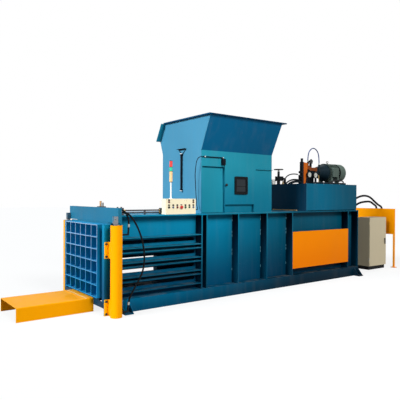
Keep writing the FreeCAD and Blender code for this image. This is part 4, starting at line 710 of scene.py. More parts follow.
# ---- surfaces ---------------------------------------------------------------------------
def lattice(rows: int, columns: int) -> Array:
    """Number the four-sided faces of a grid of points that closes on itself along its columns.

    Args:
        rows: points along the first parameter.
        columns: points along the second.

    Returns:
        An array of faces; face (i, j) joins points (i, j), (i, j+1), (i+1, j+1) and (i+1, j).
    """
    first, second = np.meshgrid(np.arange(rows - 1), np.arange(columns), indexing="ij")
    after = (second + 1) % columns
    corners = (first * columns + second, first * columns + after,
               (first + 1) * columns + after, (first + 1) * columns + second)
    return np.stack(corners, axis=-1).reshape(-1, 4)


def square_axes(direction: Point) -> tuple[Array, Array, Array]:
    """Find the axes of a direction.

    Args:
        direction: the direction, of any length.

    Returns:
        Its unit vector, and two unit vectors square to it and to each other.
    """
    axis = np.asarray(direction, float)
    axis = axis / np.linalg.norm(axis)
    other = np.array([0.0, 0.0, 1.0]) if abs(axis[2]) < 0.9 else np.array([0.0, 1.0, 0.0])
    side = np.cross(other, axis)
    side = side / np.linalg.norm(side)
    return axis, side, np.cross(axis, side)


@dataclass
class Skin:
    """Points and faces of one piece, gathered from its surfaces."""

    points: list[Array] = field(default_factory=list)
    faces: list[list[int]] = field(default_factory=list)
    size: int = 0

    def put(self, points: Array, faces: Array, caps: Sequence[Sequence[int]] = ()) -> Skin:
        """Add a surface.

        Args:
            points: its points, one row each.
            faces: its faces, numbered from 0.
            caps: further many-sided faces, numbered from 0.

        Returns:
            This skin.
        """
        self.points.append(np.asarray(points, float).reshape(-1, 3))
        self.faces.extend((np.asarray(faces) + self.size).tolist())
        self.faces.extend([[index + self.size for index in cap] for cap in caps])
        self.size += len(self.points[-1])
        return self

    def turned(self, profile: Sequence[Pair], origin: Point, direction: Point,
               segments: int = 32) -> Skin:
        """Add a turned shape: a profile of (radius, height) pairs turned about an axis.

        A point is origin + axis * height + radius * (cos(t) * side + sin(t) * up).

        Args:
            profile: radius and height of each ring; a radius of 0 closes the end.
            origin: where height is 0.
            direction: the axis.
            segments: points round the axis.

        Returns:
            This skin.
        """
        axis, side, up = square_axes(direction)
        radius, height = np.asarray(profile, float).T
        angle = np.linspace(0.0, 2 * math.pi, segments, endpoint=False)
        ring = np.cos(angle)[:, None] * side + np.sin(angle)[:, None] * up
        points = (np.asarray(origin) + height[:, None, None] * axis
                  + radius[:, None, None] * ring[None, :, :])
        return self.put(points, lattice(len(profile), segments))

    def slab(self, centre: Point, size: Pair, corner: float, depth: float,
             normal: Point, bevel: float) -> Skin:
        """Add a slab with round corners and bevelled edges.

        Its outline is a rounded rectangle, a quarter arc at each corner, and rings of it are stacked
        along the normal: the outer rings are smaller by the bevel.

        Args:
            centre: middle of its back face.
            size: width and height square to the normal.
            corner: corner radius.
            depth: thickness along the normal.
            normal: direction it stands out in.
            bevel: edge bevel.

        Returns:
            This skin.
        """
        axis, side, up = square_axes(normal)
        quarter_turn = np.linspace(0, math.pi / 2, ARC_POINTS)
        turn = (np.arange(4)[:, None] * math.pi / 2 + quarter_turn[None, :]).ravel()
        quarter = np.repeat(np.array([[1, 1], [-1, 1], [-1, -1], [1, -1]], float), ARC_POINTS, axis=0)
        rings = []
        for inset, level in ((bevel, 0.0), (0.0, bevel), (0.0, depth - bevel), (bevel, depth)):
            radius = max(corner - inset, SMALL)
            half = np.array([size[0] / 2 - inset - radius, size[1] / 2 - inset - radius])
            flat = quarter * half + radius * np.stack([np.cos(turn), np.sin(turn)], axis=1)
            rings.append(np.asarray(centre) + flat[:, :1] * side + flat[:, 1:] * up + level * axis)
        count = len(turn)
        caps = (list(range(count))[::-1], list(range(3 * count, 4 * count)))
        return self.put(np.concatenate(rings), lattice(4, count), caps)

    def rope(self, path: Array, radius: float, sides: int = 10) -> Skin:
        """Add a round bar along a path, with closed ends.

        A point is path(i) + radius * (cos(t) * side(i) + sin(t) * up(i)), with side and up square to the
        path's own direction there.

        Args:
            path: points of the centre line.
            radius: half its thickness.
            sides: points round it.

        Returns:
            This skin.
        """
        path = np.asarray(path, float)
        ahead = np.gradient(path, axis=0)
        ahead = ahead / np.linalg.norm(ahead, axis=1)[:, None]
        _, side, _ = square_axes(tuple(ahead.mean(axis=0) + SMALL))
        sides_at = side - (ahead @ side)[:, None] * ahead
        sides_at = sides_at / np.linalg.norm(sides_at, axis=1)[:, None]
        ups_at = np.cross(ahead, sides_at)
        angle = np.linspace(0.0, 2 * math.pi, sides, endpoint=False)
        points = (path[:, None, :] + radius * (np.cos(angle)[None, :, None] * sides_at[:, None, :]
                                               + np.sin(angle)[None, :, None] * ups_at[:, None, :]))
        count = len(path)
        caps = (list(range(sides))[::-1], list(range((count - 1) * sides, count * sides)))
        return self.put(points, lattice(count, sides), caps)

    def disc(self, radius: float, depth: float, origin: Point, direction: Point, bevel: float = 0.001,
             segments: int = 32) -> Skin:
        """Add a round plate or pin: a turned profile with both edges bevelled.

        Args:
            radius: its radius.
            depth: its thickness.
            origin: middle of its back face.
            direction: its axis.
            bevel: edge bevel.
            segments: points round it.

        Returns:
            This skin.
        """
        profile = ((0, 0), (radius - bevel, 0), (radius, bevel), (radius, depth - bevel),
                   (radius - bevel, depth), (0, depth))
        return self.turned(profile, origin, direction, segments)

    def band(self, inner: float, outer: float, depth: float, origin: Point, direction: Point,
             segments: int = 32) -> Skin:
        """Add a ring: a turned rectangle between two radii with its outer edges bevelled.

        Args:
            inner: inner radius.
            outer: outer radius.
            depth: its thickness.
            origin: middle of its back face.
            direction: its axis.
            segments: points round it.

        Returns:
            This skin.
        """
        edge = min(0.3 * (outer - inner), 0.3 * depth)
        profile = ((inner, 0), (outer - edge, 0), (outer, edge), (outer, depth - edge),
                   (outer - edge, depth), (inner, depth), (inner, 0))
        return self.turned(profile, origin, direction, segments)

    def piece(self, name: str, shop: Paintshop, shade: Shade) -> Object:
        """Make the object, which rides on the fixed body.

        Args:
            name: the piece's name.
            shop: gives the material.
            shade: its finish.

        Returns:
            The new object.
        """
        mesh = bpy.data.meshes.new(name)
        mesh.from_pydata(np.concatenate(self.points).tolist(), [], self.faces)
        work = bmesh.new()
        work.from_mesh(mesh)
        bmesh.ops.remove_doubles(work, verts=work.verts, dist=WELD_DISTANCE)
        bmesh.ops.recalc_face_normals(work, faces=work.faces)
        work.to_mesh(mesh)
        work.free()
        mesh.materials.append(shop.material(shade))
        mesh.shade_smooth()
        mesh.set_sharp_from_angle(angle=SMOOTH_ANGLE)
        target = linked(bpy.data.objects.new(name, mesh))
        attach(target, "frame")
        LOG.info("%s: %d faces", name, len(mesh.polygons))
        return target


def bow(start: Point, pull: Point, end: Point, count: int = 20) -> Array:
    """Give a smooth line: (1 - t)^2 * start + 2 t (1 - t) * pull + t^2 * end for t from 0 to 1."""
    t = np.linspace(0.0, 1.0, count)[:, None]
    return (1 - t) ** 2 * np.array(start) + 2 * t * (1 - t) * np.array(pull) + t ** 2 * np.array(end)


@dataclass
class Assembly:
    """Base of the sub-assemblies: their CAD nodes by finish, and their own pieces."""

    shop: Paintshop
    coats: ClassVar[dict[Shade, tuple[str, ...]]] = {}

    def build(self) -> None:
        """Paint the nodes and fit the pieces."""
        for shade, nodes in self.coats.items():
            self.shop.coat(shade, *nodes)
        self.fit()
        LOG.info("%s done", type(self).__name__)

    def fit(self) -> None:
        """Make the new pieces; each sub-assembly has its own."""
        raise NotImplementedError


# ---- hoses and cables -------------------------------------------------------------------
@dataclass(frozen=True)
class Cord:
    """A hose or cable on a smooth line through its route, with a sleeve at each end."""

    name: str
    route: tuple[Point, ...]
    diameter: float
    length: float
    stiffness: str
    node: str
    sleeves: bool = True
    shade: Shade = Shade.RUBBER

    def build(self, shop: Paintshop) -> None:
        """Args:
            shop: gives the finishes.
        """
        curve = bpy.data.curves.new(self.name, "CURVE")
        curve.dimensions = "3D"
        spline = curve.splines.new("NURBS")
        spline.points.add(len(self.route) - 1)
        for point, place in zip(spline.points, self.route):
            point.co = (*place, 1.0)
        spline.order_u = 3
        spline.use_endpoint_u = True
        spline.resolution_u = 16
        curve.bevel_depth = self.diameter / 2
        curve.bevel_resolution = 5
        curve.use_fill_caps = True
        curve.materials.append(shop.material(self.shade))
        target = linked(bpy.data.objects.new(self.name, curve))
        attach(target, "frame")
        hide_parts(self.node)
        fittings = []
        if self.sleeves:
            fittings = [self.sleeve(shop, "first", self.route[0], self.route[1]),
                        self.sleeve(shop, "last", self.route[-1], self.route[-2])]
        LOG.info("%s: %.2f m", self.name, self.length)

    def sleeve(self, shop: Paintshop, end: str, place: Point, inner: Point) -> Object:
        """Make a pressed sleeve: a turned profile with two grooves, on the hose's first stretch.

        Args:
            shop: gives the plating.
            end: which end it is, for its name.
            place: end of the hose.
            inner: next point of the route.

        Returns:
            The sleeve.
        """
        bore, outer, span = self.diameter * 0.3, self.diameter * 0.66, self.diameter * 1.7
        shape = ((0.0, 0.0), (0.0, 0.85), (0.08, 1.0), (0.22, 1.0), (0.26, 0.9), (0.34, 0.9), (0.38, 1.0),
                 (0.58, 1.0), (0.62, 0.9), (0.70, 0.9), (0.74, 1.0), (0.94, 1.0), (1.0, 0.86))
        profile = [(outer * share, span * level) for level, share in shape] + [(bore, span), (0.0, span)]
        skin = Skin().turned(profile, place, tuple(np.subtract(inner, place)), 28)
        return skin.piece(f"{self.name}_sleeve_{end}", shop, Shade.ZINC)


@dataclass
class HoseSet(Assembly):
    """All free hoses and cables of the machine."""

    cords: tuple[Cord, ...] = (
        Cord("gate_hose_upper",
             ((-2.688, -0.592, 1.422), (-2.688, -0.690, 1.422), (-2.670, -0.780, 1.375),
              (-2.6554, -0.835, 1.295), (-2.662, -0.835, 1.186)),
             0.024, 0.402, "stiff", "door_hose_upper"),
        Cord("gate_hose_lower",
             ((-2.650, -0.592, 1.384), (-2.650, -0.680, 1.384), (-2.618, -0.775, 1.356),
              (-2.560, -0.832, 1.250), (-2.490, -0.842, 1.105), (-2.438, -0.846, 0.935),
              (-2.418, -0.846, 0.735), (-2.442, -0.843, 0.570), (-2.515, -0.838, 0.435),
              (-2.597, -0.835, 0.310), (-2.652, -0.835, 0.220), (-2.662, -0.835, 0.135)),
             0.024, 1.515, "stiff", "door_hose_lower"),
        Cord("press_hose_upper",
             ((2.718, -0.300, 1.470), (2.930, -0.300, 1.470), (3.130, -0.290, 1.530),
              (3.350, -0.280, 1.615), (3.600, -0.270, 1.650), (3.830, -0.263, 1.615),
              (4.010, -0.260, 1.512), (4.170, -0.257, 1.430), (4.330, -0.240, 1.388),
              (4.480, -0.165, 1.300), (4.555, -0.085, 1.190), (4.585, -0.060, 1.075),
              (4.585, -0.060, 0.976)),
             0.044, 2.248, "stiff", "main_hose_upper"),
        Cord("press_hose_lower",
             ((2.718, -0.380, 1.370), (2.930, -0.380, 1.370), (3.110, -0.360, 1.420),
              (3.330, -0.325, 1.485), (3.600, -0.285, 1.508), (3.870, -0.240, 1.512),
              (4.090, -0.190, 1.445), (4.290, -0.130, 1.400), (4.440, -0.040, 1.330),
              (4.545, 0.030, 1.225), (4.585, 0.060, 1.100), (4.585, 0.060, 0.976)),
             0.044, 2.230, "stiff", "main_hose_lower"),
        # its blue-grey colour is painted sheen on black rubber
        Cord("pump_loop_hose",
             ((1.581, -0.336, 2.300), (1.581, -0.336, 2.400), (1.625, -0.335, 2.530),
              (1.760, -0.332, 2.600), (1.895, -0.328, 2.530), (1.940, -0.325, 2.400),
              (1.940, -0.325, 2.262)),
             0.020, 0.792, "stiff", "pump_hose", shade=Shade.SHEEN_RUBBER),
        Cord("door_switch_cable",
             ((-1.205, -0.575, 2.237), (-1.278, -0.575, 2.237), (-1.322, -0.560, 2.175),
              (-1.322, -0.535, 2.080), (-1.318, -0.510, 1.960), (-1.304, -0.502, 1.830),
              (-1.294, -0.502, 1.690), (-1.284, -0.504, 1.550), (-1.282, -0.515, 1.455),
              (-1.308, -0.572, 1.404), (-1.372, -0.640, 1.400), (-1.451, -0.640, 1.400)),
             0.012, 1.113, "medium", "switch_cable", sleeves=False),
    )

    def fit(self) -> None:
        """Make every hose and cable."""
        for cord in self.cords:
            cord.build(self.shop)


# ---- stage ------------------------------------------------------------------------------
@dataclass(frozen=True)
class Camera:
    """Camera at the photograph's place, from its own vanishing points."""

    place: Point = (-5.640, -6.410, 1.600)
    yaw: float = 36.859
    pitch: float = -0.3936
    roll: float = 0.2591
    focal_pixels: float = 463.228
    reach: float = 200.0

    def build(self) -> None:
        """Make the camera and make it the scene's own."""
        yaw, pitch, roll = (math.radians(value) for value in (self.yaw, self.pitch, self.roll))
        ahead = Vector((math.sin(yaw) * math.cos(pitch), math.cos(yaw) * math.cos(pitch),
                        math.sin(pitch)))
        level = Vector((math.cos(yaw), -math.sin(yaw), 0.0))
        above = level.cross(ahead)
        right = level * math.cos(roll) + above * math.sin(roll)
        up = above * math.cos(roll) - level * math.sin(roll)
        data = bpy.data.cameras.new("photo_camera")
        data.sensor_width = SENSOR_MM
        data.lens = self.focal_pixels / PHOTO_PIXELS * SENSOR_MM
        data.clip_end = self.reach
        camera = linked(bpy.data.objects.new("photo_camera", data))
        turn = Matrix((right, up, -ahead)).transposed().to_4x4()
        camera.matrix_world = Matrix.Translation(self.place) @ turn
        bpy.context.scene.camera = camera


@dataclass(frozen=True)
class Sun:
    """A sun lamp: the direction towards it, and its width in degrees, which softens shadows."""

    name: str
    direction: Point
    strength: float
    spread: float
    colour: Colour = (1.0, 1.0, 1.0)

    def build(self) -> None:
        """Hang the lamp."""
        data = bpy.data.lights.new(self.name, "SUN")
        data.energy = self.strength
        data.angle = math.radians(self.spread)
        data.color = self.colour
        lamp = linked(bpy.data.objects.new(self.name, data))
        lamp.rotation_euler = Vector(self.direction).to_track_quat("Z", "Y").to_euler()


@dataclass(frozen=True)
class Stage:
    """Floor, world and lamps."""

    floor_half: float = 60.0
    floor_share: float = 0.83
    floor_rough: float = 0.9
    floor_light: Colour = (0.24, 0.24, 0.24)
    floor_seen: Colour = (0.96, 0.96, 0.96)
    key: Sun = Sun("key", (0.02, -0.86, 0.51), 1.75, 16.0)
    front: Sun = Sun("front", (-0.90, 0.02, 0.44), 4.6, 26.0, (0.84, 0.93, 1.0))
    soft_place: Point = (-0.6, -4.9, 3.9)
    soft_target: Point = (-0.5, -0.5, 1.8)
    soft_power: float = 115.0
    soft_width: float = 2.4
    world_strength: float = 0.09
    world_colour: Colour = (0.94, 0.97, 1.0)

    def build(self) -> None:
        """Make everything that isn't the machine."""
        self.floor()
        self.world()
        self.key.build()
        self.soft_box()
        self.front.build()

    def floor(self) -> None:
        """Lay a pale floor that the camera sees as near white, with the machine's shadow on it."""
        half = self.floor_half
        mesh = bpy.data.meshes.new("floor")
        mesh.from_pydata([(-half, -half, 0), (half, -half, 0), (half, half, 0), (-half, half, 0)], [],
                         [(0, 1, 2, 3)])
        material = bpy.data.materials.new("pale_floor")
        material.use_nodes = True
        tree = Tree(material.node_tree)
        shader = material.node_tree.nodes["Principled BSDF"]
        shader.inputs["Roughness"].default_value = self.floor_rough
        shader.inputs["Specular IOR Level"].default_value = 0.0
        tone = tree.mix(self.seen_ray(tree), self.floor_light, self.floor_seen)
        tree.link(tone, shader.inputs["Base Color"])
        glow = tree.add("ShaderNodeEmission")
        glow.inputs["Strength"].default_value = 1.0
        share = tree.math("MULTIPLY", self.seen_ray(tree), self.floor_share)
        self.blend(tree, share, shader.outputs["BSDF"], glow.outputs["Emission"], "Material Output")
        mesh.materials.append(material)
        linked(bpy.data.objects.new("floor", mesh))

    @staticmethod
    def seen_ray(tree: Tree) -> NodeSocket:
        """Tell rays of the camera, a mirror or glass from all others.

        Args:
            tree: the tree that needs it.

        Returns:
            1 for such a ray and 0 for the others.
        """
        path = tree.add("ShaderNodeLightPath")
        mirror = tree.math("MAXIMUM", path.outputs["Is Camera Ray"], path.outputs["Is Glossy Ray"])
        return tree.math("MAXIMUM", mirror, path.outputs["Is Transmission Ray"])

    @staticmethod
    def blend(tree: Tree, share: NodeSocket, first: NodeSocket, second: NodeSocket, output: str) -> None:
        """Lead a mix of two shaders to an output node.

        Args:
            tree: the tree of all of them.
            share: 0 for the first shader, 1 for the second.
            first: first shader.
            second: second shader.
            output: name of the output node.
        """
        node = tree.add("ShaderNodeMixShader")
        for socket, source in zip(node.inputs, (share, first, second)):
            tree.link(source, socket)
        tree.link(node.outputs["Shader"], tree.tree.nodes[output].inputs["Surface"])

    def world(self) -> None:
        """Set a white background, and a softer grey light on the machine."""
        world = bpy.data.worlds.new("studio")
        world.use_nodes = True
        bpy.context.scene.world = world
        tree = Tree(world.node_tree)
        light = world.node_tree.nodes["Background"]
        light.inputs["Color"].default_value = (*self.world_colour, 1.0)
        light.inputs["Strength"].default_value = self.world_strength
        backdrop = tree.add("ShaderNodeBackground")
        backdrop.inputs["Color"].default_value = (1.0, 1.0, 1.0, 1.0)
        self.blend(tree, self.seen_ray(tree), light.outputs["Background"], backdrop.outputs["Background"],
                   "World Output")

    def soft_box(self) -> None:
        """Hang a large soft lamp in front of the press, so that light falls off along it."""
        data = bpy.data.lights.new("soft_box", "AREA")
        data.shape = "SQUARE"
        data.size = self.soft_width
        data.energy = self.soft_power
        lamp = linked(bpy.data.objects.new("soft_box", data))
        lamp.location = self.soft_place
        back = Vector(self.soft_place) - Vector(self.soft_target)
        lamp.rotation_euler = back.to_track_quat("Z", "Y").to_euler()


# ---- the machine ------------------------------------------------------------------------
@dataclass
class PressBody(Assembly):
    """Painted steelwork of the press, its gate and its guards."""

    coats = {
        Shade.BODY: ("side_wall_near", "side_wall_far", "roof_front", "roof_rear", "end_frame",
                     "gate_post_near", "gate_post_far"),
        Shade.RIBS: ("side_ribs_near", "side_ribs_far"),
        Shade.SILL: ("chamber_floor",),
        Shade.BEAM: ("base_beam_near", "base_beam_far"),
        Shade.GATE: ("door_plate", "lifting_beam", "ram_head"),
        Shade.GRID: ("door_grid",),
        Shade.YELLOW: ("cylinder_guard_near", "cylinder_guard_far"),
        Shade.PLATFORM: ("bale_platform",),
        Shade.ORANGE: ("side_cover",),
        Shade.PORTAL: ("rear_stand",),
        Shade.DARK: ("door_cylinder_near", "door_cylinder_far", "main_cylinder"),
        Shade.CHROME: ("lift_rod_near", "lift_rod_far", "ram_rod"),
        Shade.BLACK_IRON: ("guard_bolts",)}

    corner_y: float = -0.5645
    corner_inset: float = 0.013
    ribs: tuple[float, ...] = (-0.575, 0.080, 0.727)
    levels: tuple[float, ...] = (0.38, 0.64, 0.70, 0.94, 1.00, 1.20, 1.25)
    bead: float = 0.04
    radius: float = 0.0045
    swell: float = 0.001

    def fit(self) -> None:
        """Lay short weld beads, pale as a painted highlight, in the right-hand inner corner of each side
        bay.
        """
        skin = Skin()
        for rib in self.ribs:
            x, y = rib - self.corner_inset, self.corner_y
            for low in self.levels:
                middle = (x - self.swell, y - self.swell, low + self.bead / 2)
                skin.rope(bow((x, y, low), middle, (x, y, low + self.bead), 6), self.radius, 8)
        skin.piece("rib_weld_beads", self.shop, Shade.WELD)


@dataclass
class Hopper(Assembly):
    """Hopper with its door, window, switch and level sensor."""

    coats = {
        Shade.HOPPER: ("hopper_far", "hopper_rear"),
        Shade.DOOR: ("access_door",),
        Shade.HOPPER_SIDE: ("hopper_near",),
        Shade.HOPPER_FRONT: ("hopper_front",),
        Shade.DARK_GLASS: ("inspection_window",),
        Shade.DARK_TUBE: ("limit_switch", "sensor_mast")}

    clamps: tuple[Point, ...] = ((-0.806, -0.575, 2.237), (-1.176, -0.575, 2.237))
    collars: tuple[Point, ...] = ((-1.263, -0.045, 1.693), (-1.263, -0.045, 2.308))
    collar_ring: Ring = (0.0148, 0.023, 0.014)
    clamp_ring: Ring = (0.0088, 0.0125, 0.012)
    latch: Point = (-0.727, -0.5625, 1.798)
    knob: Profile = ((0, 0), (0.010, 0), (0.009, 0.012), (0.018, 0.016), (0.021, 0.022), (0.020, 0.032),
                     (0.014, 0.037), (0, 0.038))

    def fit(self) -> None:
        """Fit collars on the mast, clamps on the conduit and the latch knob."""
        rings, clamps = Skin(), Skin()
        for place in self.collars:
            rings.band(*self.collar_ring, place, UP)
        rings.piece("sensor_collars", self.shop, Shade.WHITE_PLASTIC)
        for place in self.clamps:
            clamps.band(*self.clamp_ring, place, ALONG, 24)
        clamps.piece("conduit_clamps", self.shop, Shade.WHITE_PLASTIC)
        knob = Skin().turned(self.knob, self.latch, OUT, 28)
        knob.piece("door_latch_knob", self.shop, Shade.BLACK_PLASTIC)


@dataclass
class Controls(Assembly):
    """Control box and signal tower."""

    coats = {
        Shade.CREAM: ("control_box",),
        Shade.BLACK_PLASTIC: ("selector_switch",),
        Shade.RED_PLASTIC: ("emergency_stop",),
        Shade.DARK_RED_PLASTIC: ("stop_button",),
        Shade.GREEN_PLASTIC: ("start_button",),
        Shade.WHITE_PLASTIC: ("lamp_pole",),
        Shade.LENSES: ("lamp_lenses",)}

    face_y: float = -0.715
    first_x: float = -1.937
    pitch: float = 0.0733
    row_z: float = 1.443
    mushroom: int = 3
    holder_tops: Pair = (1.4865, 1.5615)
    holder_width: float = 0.031
    holder_heights: Pair = (0.014, 0.024)
    holder_corner: float = 0.002
    holder_depth: float = 0.0022
    holder_bevel: float = 0.0006
    lens_ring: Ring = (0.0118, 0.0162, 0.006)
    button_ring: Ring = (0.0105, 0.0165, 0.0015)
    tower: Pair = (-1.866, -0.655)
    seat_ring: Ring = (0.0185, 0.0246, 0.005)
    foot_ring: Ring = (0.0118, 0.0246, 0.006)
    ring_levels: tuple[float, ...] = (1.9735, 2.0345)
    stack_ends: Pair = (1.816, 2.126)
    gland_place: Point = (-1.451, -0.640, 1.400)
    screws: tuple[Pair, ...] = (
        (-1.662, 1.540), (-1.624, 1.537), (-1.985, 1.560), (-1.459, 1.560), (-1.985, 1.350),
        (-1.459, 1.350))
    lens: Profile = ((0, 0), (0.0122, 0), (0.0122, 0.009), (0.0115, 0.013), (0.009, 0.0165),
                     (0.005, 0.0185), (0, 0.019))
    screw: Profile = ((0, 0), (0.0045, 0), (0.0045, 0.0015), (0.003, 0.003), (0, 0.0034))
    gland: Profile = ((0, 0), (0.013, 0), (0.013, 0.010), (0.010, 0.012), (0.0105, 0.022),
                      (0.0085, 0.026), (0, 0.026))
    cap: Profile = ((0, 0), (0.0246, 0), (0.0246, 0.004), (0.018, 0.008), (0, 0.0085))

    def fit(self) -> None:
        """Fit the panel and the tower's rings."""
        self.lamps()
        self.labels()
        self.rings()

    def on_face(self, index: int, level: float) -> Point:
        """Give the place of a column of the panel at a level."""
        return self.first_x + index * self.pitch, self.face_y, level

    def lamps(self) -> None:
        """Fit pilot lamps: a black bezel with a domed lens, both turned."""
        lamps = (("hour_lamp", 0, 1.520, Shade.DARK_RED_PLASTIC),
                 ("power_lamp", 1, self.row_z, Shade.BLUE_GREY),
                 ("cycle_lamp", 5, self.row_z, Shade.GREEN_PLASTIC),
                 ("fault_lamp", 6, self.row_z, Shade.BLUE_GREY),
                 ("tying_lamp", 6, 1.518, Shade.AMBER_DARK))
        bezels = Skin()
        for name, index, level, shade in lamps:
            place = self.on_face(index, level)
            bezels.band(*self.lens_ring, place, OUT)
            Skin().turned(self.lens, place, OUT, 28).piece(name, self.shop, shade)
        for index in (0, 2, 3, 4):
            bezels.band(*self.button_ring, self.on_face(index, self.row_z), OUT)
        bezels.piece("panel_bezels", self.shop, Shade.BLACK_PLASTIC)

    def labels(self) -> None:
        """Fit a bare label holder over each control, a short one over the mushroom, screws and gland."""
        short, tall = self.holder_heights
        low, high = self.holder_tops
        rows = [(index, low, short if index == self.mushroom else tall) for index in range(7)]
        holders, screws = Skin(), Skin()
        for index, top, height in (*rows, (0, high, tall), (6, high, tall)):
            place = self.on_face(index, top - height / 2)
            holders.slab(place, (self.holder_width, height), self.holder_corner, self.holder_depth, OUT,
                         self.holder_bevel)
        holders.piece("label_holders", self.shop, Shade.BLACK_PLASTIC)
        for x, z in self.screws:
            screws.turned(self.screw, (x, self.face_y, z), OUT, 20)
        screws.piece("panel_screws", self.shop, Shade.ZINC)
        gland = Skin().turned(self.gland, self.gland_place, ALONG, 24)
        gland.piece("switch_cable_gland", self.shop, Shade.BLACK_PLASTIC)

    def rings(self) -> None:
        """Fit the black seating rings between the lenses of the signal tower, and its cap."""
        rings = Skin()
        foot, top = self.stack_ends
        for level in self.ring_levels:
            rings.band(*self.seat_ring, (*self.tower, level), UP)
        rings.band(*self.foot_ring, (*self.tower, foot), UP)
        rings.turned(self.cap, (*self.tower, top), UP, 32)
        rings.piece("tower_seating_rings", self.shop, Shade.BLACK_PLASTIC)


@dataclass
class PowerUnit(Assembly):
    """Tank, motor, pump and valves."""

    coats = {
        Shade.TANK: ("oil_tank",),
        Shade.MOTOR_GREEN: ("motor",),
        Shade.PUMP: ("pump",),
        Shade.VALVES: ("valve_block",),
        Shade.FILTER: ("return_valve",),
        Shade.BLACK_IRON: ("handwheel", "star_knob"),
        Shade.PIPES: ("roof_pipes",)}

    gauges: tuple[Pair, ...] = ((1.558, 2.045), (1.740, 2.038))
    gauge_y: float = -0.404
    gauge_radius: float = 0.058
    scale: tuple[float, float, int] = (-135.0, 135.0, 11)
    mark_span: Pair = (0.037, 0.045)
    hand_span: Pair = (-0.008, 0.034)
    hand_angle: float = -1.9
    cowl: Point = (2.722, -0.240, 2.115)
    grille_radii: tuple[float, ...] = (0.030, 0.055, 0.080, 0.105, 0.130)
    grille_bar: float = 0.006
    spokes: int = 8
    tank_top: float = 1.860
    cap_place: Pair = (2.560, 0.120)
    lid_rows: Pair = (-0.645, 0.305)
    lid_span: tuple[float, float, int] = (1.180, 2.688, 7)
    lid_screw: Pair = (0.009, 0.006)
    cap: Profile = ((0, 0), (0.036, 0), (0.036, 0.008), (0.024, 0.010), (0.024, 0.030), (0.033, 0.032),
                    (0.035, 0.036), (0.035, 0.060), (0.031, 0.066), (0, 0.068))
    level_nut: Profile = ((0, 0), (0.012, 0), (0.012, 0.016), (0.008, 0.020), (0, 0.020))
    foot: Profile = ((0, 0), (0.022, 0), (0.022, 0.020), (0.017, 0.026), (0.017, 0.060), (0, 0.060))
    level_radius: float = 0.006
    lead_radius: float = 0.013
    return_radius: float = 0.011
    long_radius: float = 0.022
    block_radius: float = 0.015
    plate_place: Pair = (1.680, -0.205)
    plate_size: Pair = (0.330, 0.110)
    plate_height: float = 0.190
    strip_place: Point = (1.1375, -0.135, 1.340)
    strip_size: Pair = (0.024, 0.630)
    strip_height: float = 0.022
    level_route: Route = ((1.888, -0.360, 1.860), (1.888, -0.360, 1.955), (1.888, -0.360, 2.050))
    lead_rise: Route = ((2.120, -0.450, 1.860), (2.190, -0.452, 1.962), (2.400, -0.452, 1.950))
    lead_fall: Route = ((2.390, -0.452, 1.951), (2.690, -0.452, 1.950), (2.694, -0.300, 1.860))
    return_route: Route = ((1.300, 0.060, 1.860), (1.330, 0.020, 2.110), (1.380, -0.255, 2.050))
    long_pipe: Route = ((1.600, -0.430, 1.883), (2.100, -0.440, 1.884), (2.660, -0.430, 1.883))
    block_pipes: tuple[Route, ...] = (
        ((1.330, 0.020, 1.860), (1.345, -0.080, 1.985), (1.378, -0.300, 1.935)),
        ((1.300, -0.080, 1.860), (1.320, -0.180, 1.945), (1.385, -0.340, 1.905)),
        ((1.250, -0.180, 1.860), (1.300, -0.260, 1.925), (1.385, -0.352, 1.885)))

    def fit(self) -> None:
        """Fit dials, grille, lid fittings, pipes and the timber under the tank."""
        self.dials()
        self.grille()
        self.lid()
        self.pipes()
        self.valve_pipes()

    def dials(self) -> None:
        """Fit a black iron rim, a white dial with plain marks and a hand to each gauge."""
        rims, faces, marks = Skin(), Skin(), Skin()
        start, end, count = self.scale
        for x, z in self.gauges:
            rims.band(self.gauge_radius - 0.010, self.gauge_radius + 0.0005, 0.006,
                      (x, self.gauge_y + 0.002, z), OUT, 48)
            faces.disc(self.gauge_radius - 0.0095, 0.0015, (x, self.gauge_y, z), OUT, 0.0003, 48)
            base = np.array([x, self.gauge_y - 0.0015, z])
            for angle in np.radians(np.linspace(start, end, count)):
                marks.rope(self.ray(base, angle, self.mark_span), 0.0009, 6)
            marks.rope(self.ray(base, self.hand_angle, self.hand_span) + (0, -0.001, 0), 0.0012, 6)
            marks.disc(0.004, 0.003, tuple(base), OUT, 0.0006, 16)
        rims.piece("gauge_rims", self.shop, Shade.BLACK_IRON)
        faces.piece("gauge_dials", self.shop, Shade.DIAL)
        marks.piece("gauge_marks", self.shop, Shade.BLACK_PLASTIC)

    @staticmethod
    def ray(centre: Array, angle: float, span: Pair) -> Array:
        """Give three points of a dial's radius: centre + r * (sin(angle), 0, cos(angle)), r over span."""
        out = np.array([math.sin(angle), 0.0, math.cos(angle)])
        return np.linspace(centre + span[0] * out, centre + span[1] * out, 3)

    def grille(self) -> None:
        """Fit the cowl's grille: rings and spokes on its end."""
        x, y, z = self.cowl
        skin = Skin()
        for radius in self.grille_radii:
            skin.band(radius, radius + self.grille_bar, 0.004, (x - 0.001, y, z), ALONG, 48)
        base = np.array([x + 0.0005, y, z])
        first, last = self.grille_radii[0], self.grille_radii[-1] + self.grille_bar
        for angle in np.arange(self.spokes) * 2 * math.pi / self.spokes:
            out = np.array([0.0, math.cos(angle), math.sin(angle)])
            skin.rope(np.linspace(base + first * out, base + last * out, 3), 0.0022, 8)
        skin.disc(0.031, 0.004, (x - 0.001, y, z), ALONG, 0.001, 32)
        skin.piece("cowl_grille", self.shop, Shade.BLACK_IRON)

